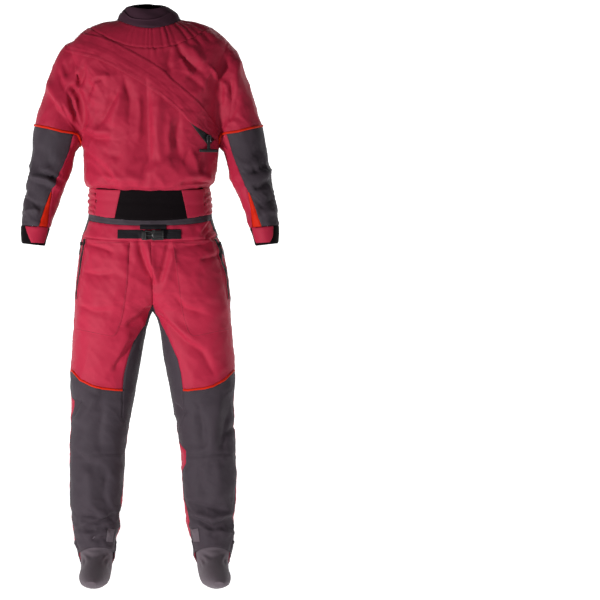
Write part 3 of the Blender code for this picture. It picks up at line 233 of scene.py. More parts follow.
# instep y and z, sole y and z, half width
SOCK = in_metres((
    (-46, -1432, 52, -1490, 44),
    (-54, -1450, 50, -1520, 43),
    (-78, -1466, 22, -1535, 42),
    (-110, -1482, -28, -1541, 42.5),
    (-144, -1497, -82, -1544, 38),
    (-170, -1510, -126, -1543, 29),
    (-184, -1520, -160, -1539, 17),
))
SWAY = np.array(((-1.55, 0.009), (-0.68, 0.007), (-0.53, 0.0), (0.03, 0.0), (0.09, -0.009)))
ANKLE_LEAN = np.array(((-1.55, 0.011), (-1.44, 0.007), (-1.34, 0.0)))  # the left ankle also leans outwards
SIDES = {"right": -1, "left": 1}  # the wearer's right is at -x
SHOULDER_SWELL = {-1: 0.011, 1: 0.0}
ARMHOLE = dict(height=-0.161, half_height=0.149, half_depth=0.076, behind=0.004)
print("rings:", len(TORSO), "torso,", len(SLEEVE), "sleeve,", len(LEGS), "leg,", len(SOCK), "sock")


# %% Surfaces of the tubes
def between_rings(table, row):
    """Ring sizes at any row: a Catmull-Rom curve, a cubic through the two nearest rings whose slopes come
    from the rings beside them."""
    row = np.clip(row, 0, len(table) - 1.0)
    i = np.minimum(row.astype(int), len(table) - 2)
    t = (row - i)[..., None]
    a, b = table[np.maximum(i - 1, 0)], table[i]
    c, d = table[i + 1], table[np.minimum(i + 2, len(table) - 1)]
    return b + 0.5 * t * (c - a + t * (2 * a - 5 * b + 4 * c - d + t * (3 * (b - c) + d - a)))


def oval_ring(angle, side, front, back, half, ahead, behind, power, dip):
    """A superellipse: sine and cosine divided by the power mean of their sizes. The height goes from the
    side's to the front's or back's with the depth raised to power x dip / 2."""
    s, c = np.sin(angle), np.cos(angle)
    mean = (np.abs(s) ** power + np.abs(c) ** power) ** (1 / power)
    x, y = s / mean, c / mean
    z = side + (np.where(c > 0, front, back) - side) * np.abs(y) ** (power * dip / 2)
    return np.stack((half * x, -np.where(c > 0, ahead, behind) * y, z), -1)


def torso(angle, row):
    """A point of the torso. Angle 0 is the front centre and a quarter turn the wearer's left."""
    side, front, back, half, ahead, behind, power = np.moveaxis(between_rings(TORSO, row), -1, 0)
    return oval_ring(angle, side, front, back, half, ahead, behind, power, 2.0)


def leg_of(hand):
    """The tube of one leg."""
    def leg(angle, row):
        """A point of a leg. Angle 0 is its front, a quarter turn its outer side, minus a quarter its inner
        side."""
        side, front, back, inner, outer, ahead, behind, power = np.moveaxis(between_rings(LEGS, row), -1, 0)
        point = oval_ring(angle, side, front, back, (outer - inner) / 2, ahead, behind, power, 1.3)
        point[..., 0] = hand * (point[..., 0] + (inner + outer) / 2)
        return point
    return leg


def sleeve_ring(angle, row, hand):
    """An ellipse between the arm's outer and inner line. Angle 0 is the outer line and a quarter turn the
    back."""
    outer_x, outer_z, inner_x, inner_z, middle_y, depth = np.moveaxis(between_rings(SLEEVE, row), -1, 0)
    outer_x = outer_x + SHOULDER_SWELL[hand] * np.clip((outer_z + 0.34) / 0.12, 0, 1)
    c = np.cos(angle)
    x = (outer_x + inner_x) / 2 + (outer_x - inner_x) / 2 * c
    z = (outer_z + inner_z) / 2 + (outer_z - inner_z) / 2 * c
    return np.stack((hand * x, middle_y + depth * np.sin(angle), z), -1)


def solve(value, low, high):
    """Where value changes sign between two arrays, by halving the interval forty times."""
    low, high = np.broadcast_arrays(np.asarray(low, float), np.asarray(high, float))
    low, high, start = low.copy(), high.copy(), value(low) > 0
    for _ in range(40):
        middle = (low + high) / 2
        same = (value(middle) > 0) == start
        low, high = np.where(same, middle, low), np.where(same, high, middle)
    return (low + high) / 2


def line(points, at):
    """The value of a line of (position, value) points, straight between them and level beyond."""
    points = np.array(sorted(points))
    return np.interp(at, points[:, 0], points[:, 1])


def running(points):
    """The distance run along a line of points, at each of them."""
    return np.concatenate(((0,), np.cumsum(np.linalg.norm(np.diff(points, axis=0), axis=1))))


def length_of(points):
    """The length of a line of points."""
    return np.linalg.norm(np.diff(points, axis=0), axis=1).sum()


def unit(vectors):
    """Vectors divided by their own lengths."""
    return vectors / np.maximum(np.linalg.norm(vectors, axis=-1, keepdims=True), 1e-12)


def bell(distance, width):
    """A smooth bump of height one: exp(-(distance / width)^2)."""
    return np.exp(-(distance / width) ** 2)


def handed(places, hand):
    """A line drawn for the wearer's left (hand 1), or its mirror image for the right (hand -1)."""
    return [(hand * x, z) for x, z in places]


for name, tube, row in (("chest", torso, 8.0), ("waist", torso, 16.0), ("thigh", leg_of(1), 10.0)):
    loop = tube(np.linspace(0, 2 * np.pi, 200), np.full(200, row))
    print(f"girth at the {name}: {length_of(loop):.3f} m")

# %% [markdown]
# ## Patches, and how they become cloth
# Each panel is a grid of points on its tube. Its four edges are seams, given as lines in the tube's
# own coordinates, and a Coons patch fills in between them: the grid then runs along its seams as the
# weave of a real panel does. Near an edge the lines lie closer, because the cloth is pressed flat
# there by stitching. Grids that belong to one piece of cloth are welded where they meet.


# %% Coons patches
FAR = 9.0  # metres, further than anything here


def spread(length, step=0.005):
    """Positions from 0 to 1 for grid lines about a step apart, with a few close lines at both ends."""
    close = np.array((0, 0.0012, 0.0028, 0.0048, 0.0075))
    if length < 0.03:
        return np.linspace(0, 1, max(5, int(length / 0.002) + 1))
    middle = np.linspace(0.011, length - 0.011, max(2, int((length - 0.022) / step)))
    return np.concatenate((close, middle, length - close[::-1])) / length


def resample(points, shares, measured=None):
    """Points of a line at shares of its length, or at shares of the length of the line measured beside it."""
    run = running(points if measured is None else measured)
    return np.stack([np.interp(np.asarray(shares) * run[-1], run, axis) for axis in points.T], -1)


def smooth_line(points, count=60):
    """A Catmull-Rom curve through a few corner points."""
    return between_rings(np.array(points, float), np.linspace(0, len(points) - 1.0, count))


def panel(tube, top, bottom, left, right, step=0.005):
    """A grid of points on a tube between four edges, each a line of (angle, row) places running left to right
    or top to bottom."""
    def evened(first, second):
        """Two opposite edges with their places spread evenly along the tube, and the shares where they
        lie."""
        seen = [tube(*places.T) for places in (first, second)]
        shares = spread(max(map(length_of, seen)), step)
        return shares, resample(first, shares, seen[0]), resample(second, shares, seen[1])

    across, top, bottom = evened(top, bottom)
    down, left, right = evened(left, right)
    s, t = across[None, :, None], down[:, None, None]
    corner = (1 - t) * ((1 - s) * top[0] + s * top[-1]) + t * ((1 - s) * bottom[0] + s * bottom[-1])
    places = (1 - t) * top[None] + t * bottom[None] + (1 - s) * left[:, None] + s * right[:, None] - corner
    return tube(places[..., 0], places[..., 1])


def distance_in(grid, edges="tblr"):
    """Each grid point's distance from the nearest of the named edges (top, bottom, left, right), measured
    along the grid lines."""
    across = np.linalg.norm(np.diff(grid, axis=1), axis=2).T
    down = np.linalg.norm(np.diff(grid, axis=0), axis=2)
    away = np.full(grid.shape[:2], FAR)
    for edge, gaps, rows in (("l", across, away.T), ("r", across[::-1], away.T[::-1]),
                             ("t", down, away), ("b", down[::-1], away[::-1])):
        if edge in edges:
            rows[1:] = np.minimum(rows[1:], np.cumsum(gaps, 0))
            rows[0] = 0
    return away


def grid_quads(down, across):
    """The four-cornered faces of a grid of points."""
    index = np.arange(down * across).reshape(down, across)
    return np.stack((index[:-1, :-1], index[1:, :-1], index[1:, 1:], index[:-1, 1:]), -1).reshape(-1, 4)


def shared(points, faces, normal):
    """Unit normals at the points: the sum of the normals of the faces round each."""
    total = np.zeros_like(points)
    for corner in faces.T:
        np.add.at(total, corner, normal)
    return unit(total)


class Cloth:
    """Welded grids: points, four-cornered faces, outward normals, distance from the seams, and a place in the
    weave."""

    def __init__(self, grids, middle, edges="tblr", missing=()):
        edges = [edges] * len(grids) if isinstance(edges, str) else edges
        points, faces, away, weave, start = [], [], [], [], 0
        lost = np.concatenate([m.ravel() for m in missing]) if len(missing) else None
        for grid, sides in zip(grids, edges):
            down, across = grid.shape[:2]
            quads = grid_quads(down, across)
            flat = grid.reshape(-1, 3)
            normal = np.cross(flat[quads[:, 2]] - flat[quads[:, 0]], flat[quads[:, 3]] - flat[quads[:, 1]])
            centre = flat[quads].mean(1)
            if (normal * (centre - middle(centre))).sum() < 0:
                quads = quads[:, ::-1]
            run = np.zeros((down, across, 2))
            run[:, 1:, 0] = np.cumsum(np.linalg.norm(np.diff(grid, axis=1), axis=2), 1)
            run[:, :, 0] -= run[:, -1:, 0] / 2
            run[1:, :, 1] = np.cumsum(np.linalg.norm(np.diff(grid, axis=0), axis=2), 0)
            points.append(flat)
            faces.append(start + quads)
            away.append(distance_in(grid, sides).ravel())
            weave.append(run.reshape(-1, 2))
            start += down * across
        points, faces, away = np.concatenate(points), np.concatenate(faces), np.concatenate(away)
        if lost is not None:
            faces = faces[~lost[faces].any(1)]
        self.loop_weave = np.concatenate(weave)[faces].reshape(-1, 2)
        _, first, index = np.unique(np.round(points, 6), axis=0, return_index=True, return_inverse=True)
        index = index.reshape(-1)
        self.points, self.faces = points[first], index[faces]
        self.away = np.full(len(first), FAR)
        np.minimum.at(self.away, index, away)
        keep = (self.faces[:, 0] != self.faces[:, 2]) & (self.faces[:, 1] != self.faces[:, 3])
        self.faces, self.loop_weave = self.faces[keep], self.loop_weave.reshape(-1, 4, 2)[keep].reshape(-1, 2)
        self.normals = self.find_normals()
        corners = self.points[self.faces]
        self.area = float(np.linalg.norm(np.cross(corners[:, 2] - corners[:, 0],
                                                  corners[:, 3] - corners[:, 1]), axis=1).sum() / 2)
        self.width = max(float(np.linalg.norm(np.diff(g, axis=1), axis=2).sum(1).max()) for g in grids)
        self.length = max(float(np.linalg.norm(np.diff(g, axis=0), axis=2).sum(0).max()) for g in grids)
        if not 0.35 < self.area / (self.width * self.length) < 0.95:
            self.width = self.area / (0.8 * self.length)  # panels cut side by side, with a fifth of waste

    def find_normals(self):
        """The mean of the normals of the faces round each point, larger faces counting more."""
        corners = self.points[self.faces]
        normal = np.cross(corners[:, 2] - corners[:, 0], corners[:, 3] - corners[:, 1])
        return shared(self.points, self.faces, normal)


print("lines across a 0.5 m panel:", len(spread(0.5)))

# %% [markdown]
# ## Folds
# Stiff laminate does not ripple like silk. It breaks into a few long creases that start sharp at a
# seam, a joint or a strap and widen as they run out. So each main crease is listed one by one: a line
# of a few points seen from the front or the back, with a width, a height and a lean. A positive
# height is a ridge, a negative one a trough. A light crumple of crossing waves fills the cloth
# between them, stronger where the suit bunches up.

# %% The fold tables
# width, height, lean, then the (x, z) points of the line, in millimetres. The lean makes one flank steeper.
FRONT_FOLDS = (
    # chest, below the flap
    (20, -10, 0.5, (-8, -140), (-6, -230), (-3, -365)),
    (20, 6, 0, (26, -170), (18, -260), (14, -360)),
    (6, -3, 0.4, (10, -265), (17, -310), (18, -360)),
    (13, -6.5, -0.4, (-72, -125), (-55, -185), (-60, -240)),
    (13, 5, 0, (-80, -160), (-90, -205), (-108, -262)),
    (12, -6.5, 0.5, (-92, -165), (-117, -212), (-146, -262)),
    (14, 4, 0, (-30, -165), (-27, -230), (-33, -300)),
    (8, -6.5, 0.5, (-195, -268), (-152, -287), (-112, -290)),
    (10, 4.5, 0, (-185, -255), (-140, -270), (-105, -272)),
    (6, -3, 0.3, (-135, -317), (-120, -331), (-76, -341)),
    (9, -5.5, 0.6, (-196, -308), (-159, -343), (-123, -373), (-92, -416)),
    (9, -5, 0.5, (-184, -345), (-146, -382), (-112, -416)),
    (6, -3.2, 0.3, (-48, -348), (-20, -332), (4, -320)),
    (6, -3, 0.3, (-22, -380), (-4, -352), (2, -335)),
    (10, 4, 0.3, (10, -380), (34, -358), (62, -348)),
    (14, -6.5, 0.4, (83, -236), (75, -290), (86, -350)),
    (12, 4.5, 0, (56, -230), (50, -290), (56, -335)),
    (8, -5, 0.5, (111, -322), (104, -342), (96, -362)),
    (9, 4.5, 0, (117, -330), (127, -355), (136, -385)),
    (8, -6, 0.5, (148, -340), (146, -362), (144, -388)),
    (9, -6, 0.6, (78, -417), (104, -409), (135, -407), (182, -419)),
    (10, 4, 0, (90, -398), (130, -392), (178, -400)),
    (9, 4, 0, (-150, -392), (-80, -404), (-10, -404)),
    # right armpit and the folds under the flap's shoulder end
    (10, -11, 0.6, (-233, -152), (-216, -144), (-197, -161), (-188, -195), (-177, -262)),
    (9, -7.5, -0.4, (-231, -158), (-216, -197), (-196, -252)),
    (10, 6, 0, (-214, -165), (-204, -205), (-187, -256)),
    (10, -6, 0.5, (-248, -190), (-226, -234), (-198, -264)),
    (14, 6, 0, (-286, -125), (-262, -178), (-222, -242)),
    (12, -5.5, 0.4, (-283, -162), (-254, -212), (-212, -262)),
    (13, 7.5, 0.4, (-190, -88), (-203, -118), (-214, -146)),
    (9, -7, 0.5, (-181, -90), (-188, -118), (-200, -150)),
    (6, -4, 0.4, (-222, -70), (-226, -90), (-228, -114)),
    (6, -4, -0.3, (-248, -74), (-240, -90), (-232, -114)),
    (8, -4.5, 0.4, (-258, -98), (-248, -128), (-236, -158)),
    (7, -5.5, 0.5, (-126, -121), (-152, -130), (-166, -150), (-172, -176)),
    (14, 6, 0, (-108, -115), (-141, -118), (-164, -146)),
    # neck and left shoulder
    (12, -7, 0.5, (79, -26), (99, -66), (148, -106)),
    (14, 6, 0, (108, -30), (130, -58), (150, -84)),
    (9, -5, 0.3, (61, -34), (50, -76), (60, -104)),
    (11, 4.5, 0, (84, -56), (98, -86), (116, -116)),
    (8, -3.5, 0.3, (100, -108), (128, -126), (150, -150)),
    (11, 8, 0.5, (168, -88), (193, -116), (214, -146)),
    (12, -9.5, 0.5, (172, -102), (196, -155), (188, -200)),
    (16, -11, 0.3, (214, -36), (199, -105), (193, -180), (196, -262)),
    (12, -7.5, -0.3, (226, -120), (228, -180), (217, -244)),
    (13, 6, 0, (247, -56), (238, -110), (240, -170)),
    (10, -5, 0.4, (250, -175), (236, -212), (215, -244)),
    # elbows and lower sleeves
    (5, -5, 0.4, (-334, -361), (-302, -359), (-268, -354)),
    (6, -7.5, 0.5, (-318, -377), (-286, -388), (-254, -401)),
    (15, 7, 0.3, (-330, -392), (-285, -406), (-256, -424)),
    (9, -6, 0.5, (-330, -404), (-292, -414), (-262, -434)),
    (9, -4, 0.4, (-322, -312), (-296, -330), (-272, -338)),
    (10, -4, 0.4, (-350, -452), (-316, -472), (-296, -474)),
    (10, 3.5, 0, (-352, -492), (-322, -486), (-304, -494)),
    (6, -8.5, 0.5, (344, -360), (314, -374), (286, -386)),
    (17, 9.5, 0.3, (335, -375), (305, -400), (266, -425)),
    (9, -6, 0.4, (342, -405), (312, -424), (286, -430)),
    (9, -4, 0.4, (330, -310), (305, -322), (285, -345)),
    (10, -4, 0.4, (352, -456), (326, -470), (304, -486)),
    (10, 3.5, 0, (354, -498), (330, -490), (310, -500)),
    # trousers, from the belt to the crotch
    (8, -8, 0.5, (-31, -562), (-28, -600), (6, -700)),
    (12, 5, 0, (-12, -575), (-4, -630), (12, -690)),
    (6, -3.5, 0.4, (-58, -574), (-60, -602), (-62, -640)),
    (8, -5, -0.4, (50, -570), (36, -630), (14, -700)),
    (11, 6, 0, (66, -590), (52, -640), (30, -705)),
    (7, -4, 0.3, (-184, -580), (-144, -590), (-100, -608)),
    (6, -5.5, 0.4, (140, -556), (155, -536), (170, -516)),
    (6, -5.5, 0.4, (152, -566), (168, -548), (182, -538)),
    (8, 4.5, 0, (132, -552), (148, -530), (160, -514)),
    (7, -4.5, 0.4, (166, -572), (184, -562), (204, -558)),
    (7, -4, 0.4, (78, -592), (118, -586), (162, -580)),
    (7, -4, 0.4, (130, -630), (160, -620), (196, -612)),
    (12, -4, 0.4, (-190, -660), (-150, -668), (-105, -662)),
    (14, 4.5, 0.2, (6, -735), (-40, -772), (-88, -806)),
    (11, -5, 0.4, (-4, -752), (-40, -795), (-78, -815)),
    (14, 5, 0.2, (14, -745), (72, -815), (134, -862)),
    (12, -5, 0.4, (14, -775), (88, -850), (140, -884), (176, -955)),
    (9, -4, 0.4, (60, -725), (92, -760), (150, -778)),
    (13, -6, 0.4, (-42, -846), (-92, -908), (-108, -944)),
    (14, 4.5, 0, (-62, -822), (-94, -892), (-130, -945)),
    (10, -3.5, 0.4, (-205, -752), (-165, -768), (-110, -770)),
    # knees
    (18, 6.5, 0.3, (-152, -1000), (-176, -1046), (-216, -1086)),
    (20, -5.5, 0.3, (-140, -1050), (-150, -1110), (-146, -1165)),
    (12, -4, 0.3, (-200, -1010), (-212, -1050), (-222, -1070)),
    (20, 4.5, 0, (-184, -1200), (-178, -1270), (-168, -1330)),
    (14, -4, 0.4, (-128, -1215), (-134, -1280), (-126, -1320)),
    (10, -3.5, 0.4, (-215, -1160), (-190, -1190), (-150, -1200)),
    (20, 6.5, 0.2, (188, -1010), (170, -1090), (160, -1168)),
    (18, -5.5, 0.3, (130, -1040), (140, -1100), (146, -1160)),
    (12, -4.5, 0.4, (214, -1050), (200, -1120), (196, -1165)),
    (8, -4, 0.4, (240, -1084), (224, -1098), (206, -1116)),
    (8, -3.5, 0.4, (62, -1028), (80, -1048), (100, -1052)),
    (18, 4.5, 0, (180, -1190), (184, -1250), (176, -1310)),
    (14, -4, 0.4, (128, -1200), (136, -1250), (150, -1290)),
    # ankles
    (5, -5, 0.5, (-206, -1336), (-176, -1338), (-150, -1344)),
    (9, -9, 0.6, (-186, -1366), (-150, -1358), (-104, -1336)),
    (8, 4.5, 0, (-206, -1362), (-158, -1368), (-110, -1352)),
    (5, -3.5, 0.5, (-196, -1374), (-178, -1378), (-160, -1378)),
    (7, 4, 0, (-196, -1392), (-150, -1394), (-120, -1384)),
    (5, -4.5, 0.5, (-174, -1412), (-162, -1396), (-148, -1382)),
    (5, -3.5, 0.5, (-158, -1414), (-144, -1404), (-132, -1398)),
    (10, -4.5, 0.4, (94, -1300), (140, -1312), (212, -1330)),
    (10, 5, 0, (116, -1334), (165, -1350), (216, -1334)),
    (10, -9.5, 0.6, (116, -1345), (166, -1370), (222, -1346)),
    (7, 4, 0, (130, -1372), (166, -1388), (200, -1374)),
    (6, -4, 0.5, (150, -1396), (170, -1382), (204, -1366)),
)
BACK_FOLDS = (
    # yoke and shoulder blades
    (12, -10, 0.5, (52, -10), (64, -60), (66, -160)),
    (14, 7, 0, (84, -30), (92, -90), (90, -150)),
    (9, -7.5, 0.5, (0, -2), (-33, -44), (-38, -112)),
    (13, 5.5, 0, (24, -10), (18, -70), (20, -130)),
    (10, -5.5, 0.4, (-62, -4), (-60, -50), (-52, -90)),
    (14, -9, 0.6, (66, -156), (-1, -212), (-80, -243), (-132, -266)),
    (16, 6, 0, (60, -184), (-6, -236), (-70, -262)),
    (12, -5, 0.4, (120, -30), (126, -80), (118, -140)),
    (12, 4.5, 0, (-100, -30), (-116, -90), (-118, -160)),
    (10, -4.5, 0.4, (-84, -60), (-98, -120), (-96, -180)),
    (8, 4, 0.4, (-78, -4), (-130, -26), (-172, -68), (-186, -126)),
    # across the back, bulging over the waist
    (10, -7, 0.6, (176, -252), (108, -238), (0, -258), (-90, -272)),
    (14, 5.5, 0, (160, -274), (90, -260), (0, -278)),
    (9, -5.5, 0.5, (132, -308), (80, -300), (40, -292), (0, -280)),
    (9, -5, 0.5, (142, -342), (100, -346), (58, -340)),
    (9, -6, 0.5, (-56, -368), (-100, -346), (-150, -320)),
    (12, 5, 0, (-60, -340), (-100, -318), (-140, -300)),
    (10, -5, 0.4, (-80, -392), (-120, -376), (-170, -372)),
    (12, 4.5, 0, (120, -370), (60, -382), (0, -372)),
    (8, -3.5, 0.4, (30, -330), (-10, -326), (-50, -312)),
    (9, -4.5, 0.4, (184, -390), (150, -400), (100, -404)),
    # armpits and upper sleeves
    (12, -10.5, 0.5, (219, -86), (190, -156), (184, -260)),
    (10, -6, 0.4, (262, -140), (234, -200), (214, -236)),
    (12, 5.5, 0, (276, -130), (252, -190), (230, -232)),
    (8, -5, 0.4, (240, -210), (226, -222), (212, -214)),
    (9, -4.5, 0.4, (282, -236), (250, -238), (216, -252)),
    (12, -10.5, -0.5, (-214, -70), (-186, -136), (-180, -250)),
    (10, 6, 0, (-226, -60), (-204, -130), (-198, -220)),
    (10, -5.5, 0.4, (-270, -166), (-236, -220), (-216, -252)),
    (10, 4.5, 0, (-282, -190), (-256, -230), (-236, -252)),
    # elbows
    (8, -6, 0.5, (290, -330), (266, -344), (246, -352)),
    (16, 8, 0.3, (330, -372), (296, -394), (262, -412)),
    (9, -5, 0.4, (338, -396), (300, -418), (276, -420)),
    (9, -4.5, 0.4, (350, -440), (318, -460), (298, -458)),
    (9, -4, 0.4, (352, -486), (326, -502), (306, -496)),
    (9, -6.5, 0.5, (-292, -300), (-262, -318), (-232, -316)),
    (12, 6, 0, (-316, -316), (-290, -336), (-262, -344)),
    (8, -7, 0.5, (-336, -382), (-306, -396), (-284, -392)),
    (12, 5.5, 0, (-340, -362), (-310, -372), (-286, -366)),
    (9, -5, 0.4, (-350, -430), (-322, -452), (-300, -448)),
    (9, -4, 0.4, (-352, -480), (-330, -492), (-308, -486)),
    # seat
    (10, -4, 0.4, (150, -560), (110, -580), (50, -588)),
    (10, -4, 0.4, (-60, -560), (-100, -576), (-130, -562)),
    (14, -5, 0.3, (26, -700), (20, -780), (50, -850)),
    (12, -4.5, 0.3, (-170, -690), (-130, -720), (-90, -720)),
    (14, -6, 0.4, (-10, -752), (-60, -812), (-120, -850)),
    (14, -6, 0.4, (14, -752), (70, -812), (130, -850)),
    (12, 5, 0, (180, -780), (140, -820), (90, -836)),
    # backs of the knees and calves
    (12, -6, 0.4, (60, -940), (110, -975), (170, -985)),
    (9, 10, 0.5, (205, -1038), (140, -1048), (70, -1060)),
    (8, -8.5, 0.5, (210, -1058), (145, -1068), (76, -1082)),
    (9, 7, 0.3, (206, -1086), (150, -1098), (90, -1104)),
    (12, -6, 0.4, (-66, -950), (-110, -978), (-160, -990)),
    (9, 10, 0.5, (-74, -1066), (-140, -1064), (-216, -1074)),
    (8, -8.5, 0.5, (-78, -1086), (-140, -1084), (-214, -1096)),
    (9, 7, 0.3, (-90, -1108), (-150, -1106), (-212, -1118)),
    (12, -5, 0.4, (210, -1200), (170, -1240), (120, -1262)),
    (12, -5, 0.4, (-100, -1210), (-150, -1236), (-206, -1240)),
    (12, -7, 0.5, (212, -1340), (160, -1372), (104, -1350)),
    (13, 7, 0, (206, -1392), (160, -1398), (112, -1372)),
    (9, -6.5, 0.5, (202, -1426), (160, -1430), (116, -1402)),
    (12, -7, 0.5, (-98, -1340), (-150, -1362), (-214, -1352)),
    (13, 6, 0, (-104, -1368), (-150, -1388), (-208, -1380)),
    (9, -6.5, 0.5, (-106, -1404), (-150, -1420), (-204, -1412)),
)
# where the cloth bunches up: x, z, half width, half height, and how much stronger the crumple is
BUNCHED = (
    (-0.19, -0.2, 0.06, 0.11, 1.6), (0.19, -0.2, 0.06, 0.11, 1.6), (0.0, -0.4, 0.24, 0.05, 1.2),
    (-0.3, -0.38, 0.07, 0.05, 2.2), (0.31, -0.38, 0.07, 0.05, 2.2), (-0.32, -0.5, 0.06, 0.06, 1.4),
    (0.32, -0.5, 0.06, 0.06, 1.4), (0.0, -0.64, 0.16, 0.08, 0.8), (0.17, -0.6, 0.07, 0.06, 1.6),
    (-0.15, -1.36, 0.09, 0.07, 1.8), (0.17, -1.36, 0.09, 0.07, 1.8), (0.0, -0.78, 0.08, 0.07, 1.0),
)
print("hand-laid folds:", len(FRONT_FOLDS), "in front,", len(BACK_FOLDS), "behind")


# %% How far the folds move the cloth
def fold_sum(points, folds):
    """Adds up the folds. Each is height x exp(-|u|^1.3), with u the distance from its line in widths, and it
    fades out at both ends. The lean narrows one flank and widens the other. The width grows from 0.7 to 1.3
    of its own along the line."""
    here, total = points[:, (0, 2)], np.zeros(len(points))
    for width, height, lean, *corners in folds:
        corners = np.array(corners) / 1000
        width, height = FOLD_WIDTH * (width / 1000), FOLD_GAIN * (height / 1000)
        reach = 5 * width
        near = np.flatnonzero(((here > corners.min(0) - reach) & (here < corners.max(0) + reach)).all(1))
        if not len(near):
            continue
        spots, runs = here[near], np.diff(corners, axis=0)
        lengths = np.hypot(*runs.T)
        best, share_best = np.full(len(near), FAR), np.zeros(len(near))
        for start, run, length, before in zip(corners, runs, lengths, np.cumsum(lengths) - lengths):
            away = spots - start
            share = np.clip(away @ run / length ** 2, 0, 1)
            gap = np.linalg.norm(away - share[:, None] * run, axis=1)
            side = np.sign(run[0] * away[:, 1] - run[1] * away[:, 0])
            closer = gap < np.abs(best)
            best = np.where(closer, gap * np.where(side == 0, 1, side), best)
            share_best = np.where(closer, (before + share * length) / lengths.sum(), share_best)
        fade = np.clip(share_best / FADE, 0, 1) * np.clip((1 - share_best) / FADE, 0, 1)
        fade = 0.25 + 0.75 * fade * fade * (3 - 2 * fade)
        u = best / (width * (0.7 + 0.6 * share_best) * (1 - lean * np.sign(best)))
        total[near] += height * fade * np.exp(-np.abs(u) ** 1.3)
    return total


FOLD_GAIN, FOLD_WIDTH = 2.25, 0.9  # heights and widths of all the listed folds
FADE = 0.22  # the share of a fold's line over which it fades out at either end
WAVES = np.random.default_rng(7).normal(size=(15, 3)) * (1, 0.6, 1)
LONG_WAVES = np.repeat(np.geomspace(0.026, 0.125, 5), 3)
WAVES *= (2 * np.pi / LONG_WAVES / np.linalg.norm(WAVES, axis=1))[:, None]
PHASES = np.random.default_rng(8).uniform(0, 6.28, 15)


def crumple(points):
    """A net of crossing creases. The places are first bent by slow sines. Each of five sizes is then the
    highest of three waves (1 - |sin|) squared, and the sizes are added up, each as high as it is long."""
    bent = points + 0.011 * np.sin(points[:, (1, 2, 0)] * 31 + (0.3, 1.7, 4.0)) \
        + 0.004 * np.sin(points[:, (2, 0, 1)] * 87 + (2.1, 0.4, 5.2))
    waves = (1 - np.abs(np.sin(bent @ WAVES.T / 2 + PHASES))) ** 2
    sizes = waves.reshape(len(points), 5, 3).max(2)
    height = ((sizes - 0.42) * LONG_WAVES[::3]).sum(1) / LONG_WAVES[::3].sum() * 1.6
    strength = np.ones(len(points))
    for x, z, wide, high, more in BUNCHED:
        strength += more * np.exp(-((points[:, 0] - x) / wide) ** 2 - ((points[:, 2] - z) / high) ** 2)
    return height * strength


HIGHEST = 0.0125  # no fold rises or sinks further than this
RUMPLE = 0.0035  # height of the crumple


def folds(points, normals, amount=1.0, rumple=RUMPLE):
    """How far each point moves outwards. Front folds act on cloth that faces forwards, back folds behind. The
    sum is eased towards its limit as limit x tanh(sum / limit), so that crossing folds make no spikes."""
    ahead = np.clip(0.5 - normals[:, 1] * 1.2, 0, 1)
    moved = amount * (ahead * fold_sum(points, FRONT_FOLDS) + (1 - ahead) * fold_sum(points, BACK_FOLDS)) \
        + rumple * crumple(points)
    return HIGHEST * np.tanh(moved / HIGHEST)


def sway(points):
    """The suit hangs a little off its middle plane, except for its sleeves."""
    moved = points.copy()
    moved[:, 0] += np.where(np.abs(points[:, 0]) < 0.24, np.interp(points[:, 2], *SWAY.T), 0)
    moved[:, 0] += np.where(points[:, 0] > 0.05, np.interp(points[:, 2], *ANKLE_LEAN.T), 0)
    return moved


# %% Turn a welded patch into a piece of cloth
def add_mesh(name, points, faces, finish, nodes=(), body="suit", smooth=True):
    """A mesh object from arrays of points and of four-cornered or three-cornered faces. It rides on a body of
    the frame and takes the place of CAD nodes."""
    mesh = bpy.data.meshes.new(name)
    faces = np.asarray(faces)
    mesh.vertices.add(len(points))
    mesh.vertices.foreach_set("co", np.asarray(points, np.float32).ravel())
    mesh.loops.add(faces.size)
    mesh.loops.foreach_set("vertex_index", faces.astype(np.int32).ravel())
    mesh.polygons.add(len(faces))
    mesh.polygons.foreach_set("loop_start", np.arange(0, faces.size, faces.shape[1], dtype=np.int32))
    mesh.polygons.foreach_set("use_smooth", np.full(len(faces), smooth))
    mesh.update(calc_edges=True)
    mesh.validate()
    mesh.materials.append(finish)
    made = add_object(name, mesh)
    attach(made, body)
    if nodes:
        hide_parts(*nodes)
    return made


def facing_out(points, faces, centres):
    """The faces, turned over if they face the centres inside them."""
    a, b, c = (points[faces[:, k]] for k in range(3))
    return faces[:, ::-1] if (np.cross(b - a, c - a) * (a - centres)).sum() < 0 else faces


def add_cloth(name, points, cloth, finish, nodes, thickness):
    """A mesh with the cloth's own map, metres across and metres down, for the weave in the material, and a
    Solidify modifier that gives the sheet its wall inwards, so that its points are its outer face."""
    piece = add_mesh(name, points, cloth.faces, finish, nodes)
    layer = piece.data.uv_layers.new(name="weave")
    if len(layer.data) == len(cloth.loop_weave):
        layer.data.foreach_set("uv", cloth.loop_weave.astype(np.float32).ravel())
    wall = piece.modifiers.new("wall", "SOLIDIFY")
    wall.thickness, wall.offset, wall.use_rim = thickness, -1, True
    LAID[name] = keep_face(points, cloth.faces)
    return piece, wall


SEAM_PINCH, SEAM_WIDTH = 0.0011, 0.0026  # a seam is pressed down so far, over so much to either side
RIDGE, RIDGE_AWAY, RIDGE_WIDTH = 0.0005, 0.0065, 0.003  # the low ridge that runs beside it
ON_MIDDLE = 6e-4  # points this near the middle plane stay on it
LAID = {}  # finished outer faces, for what lies on them


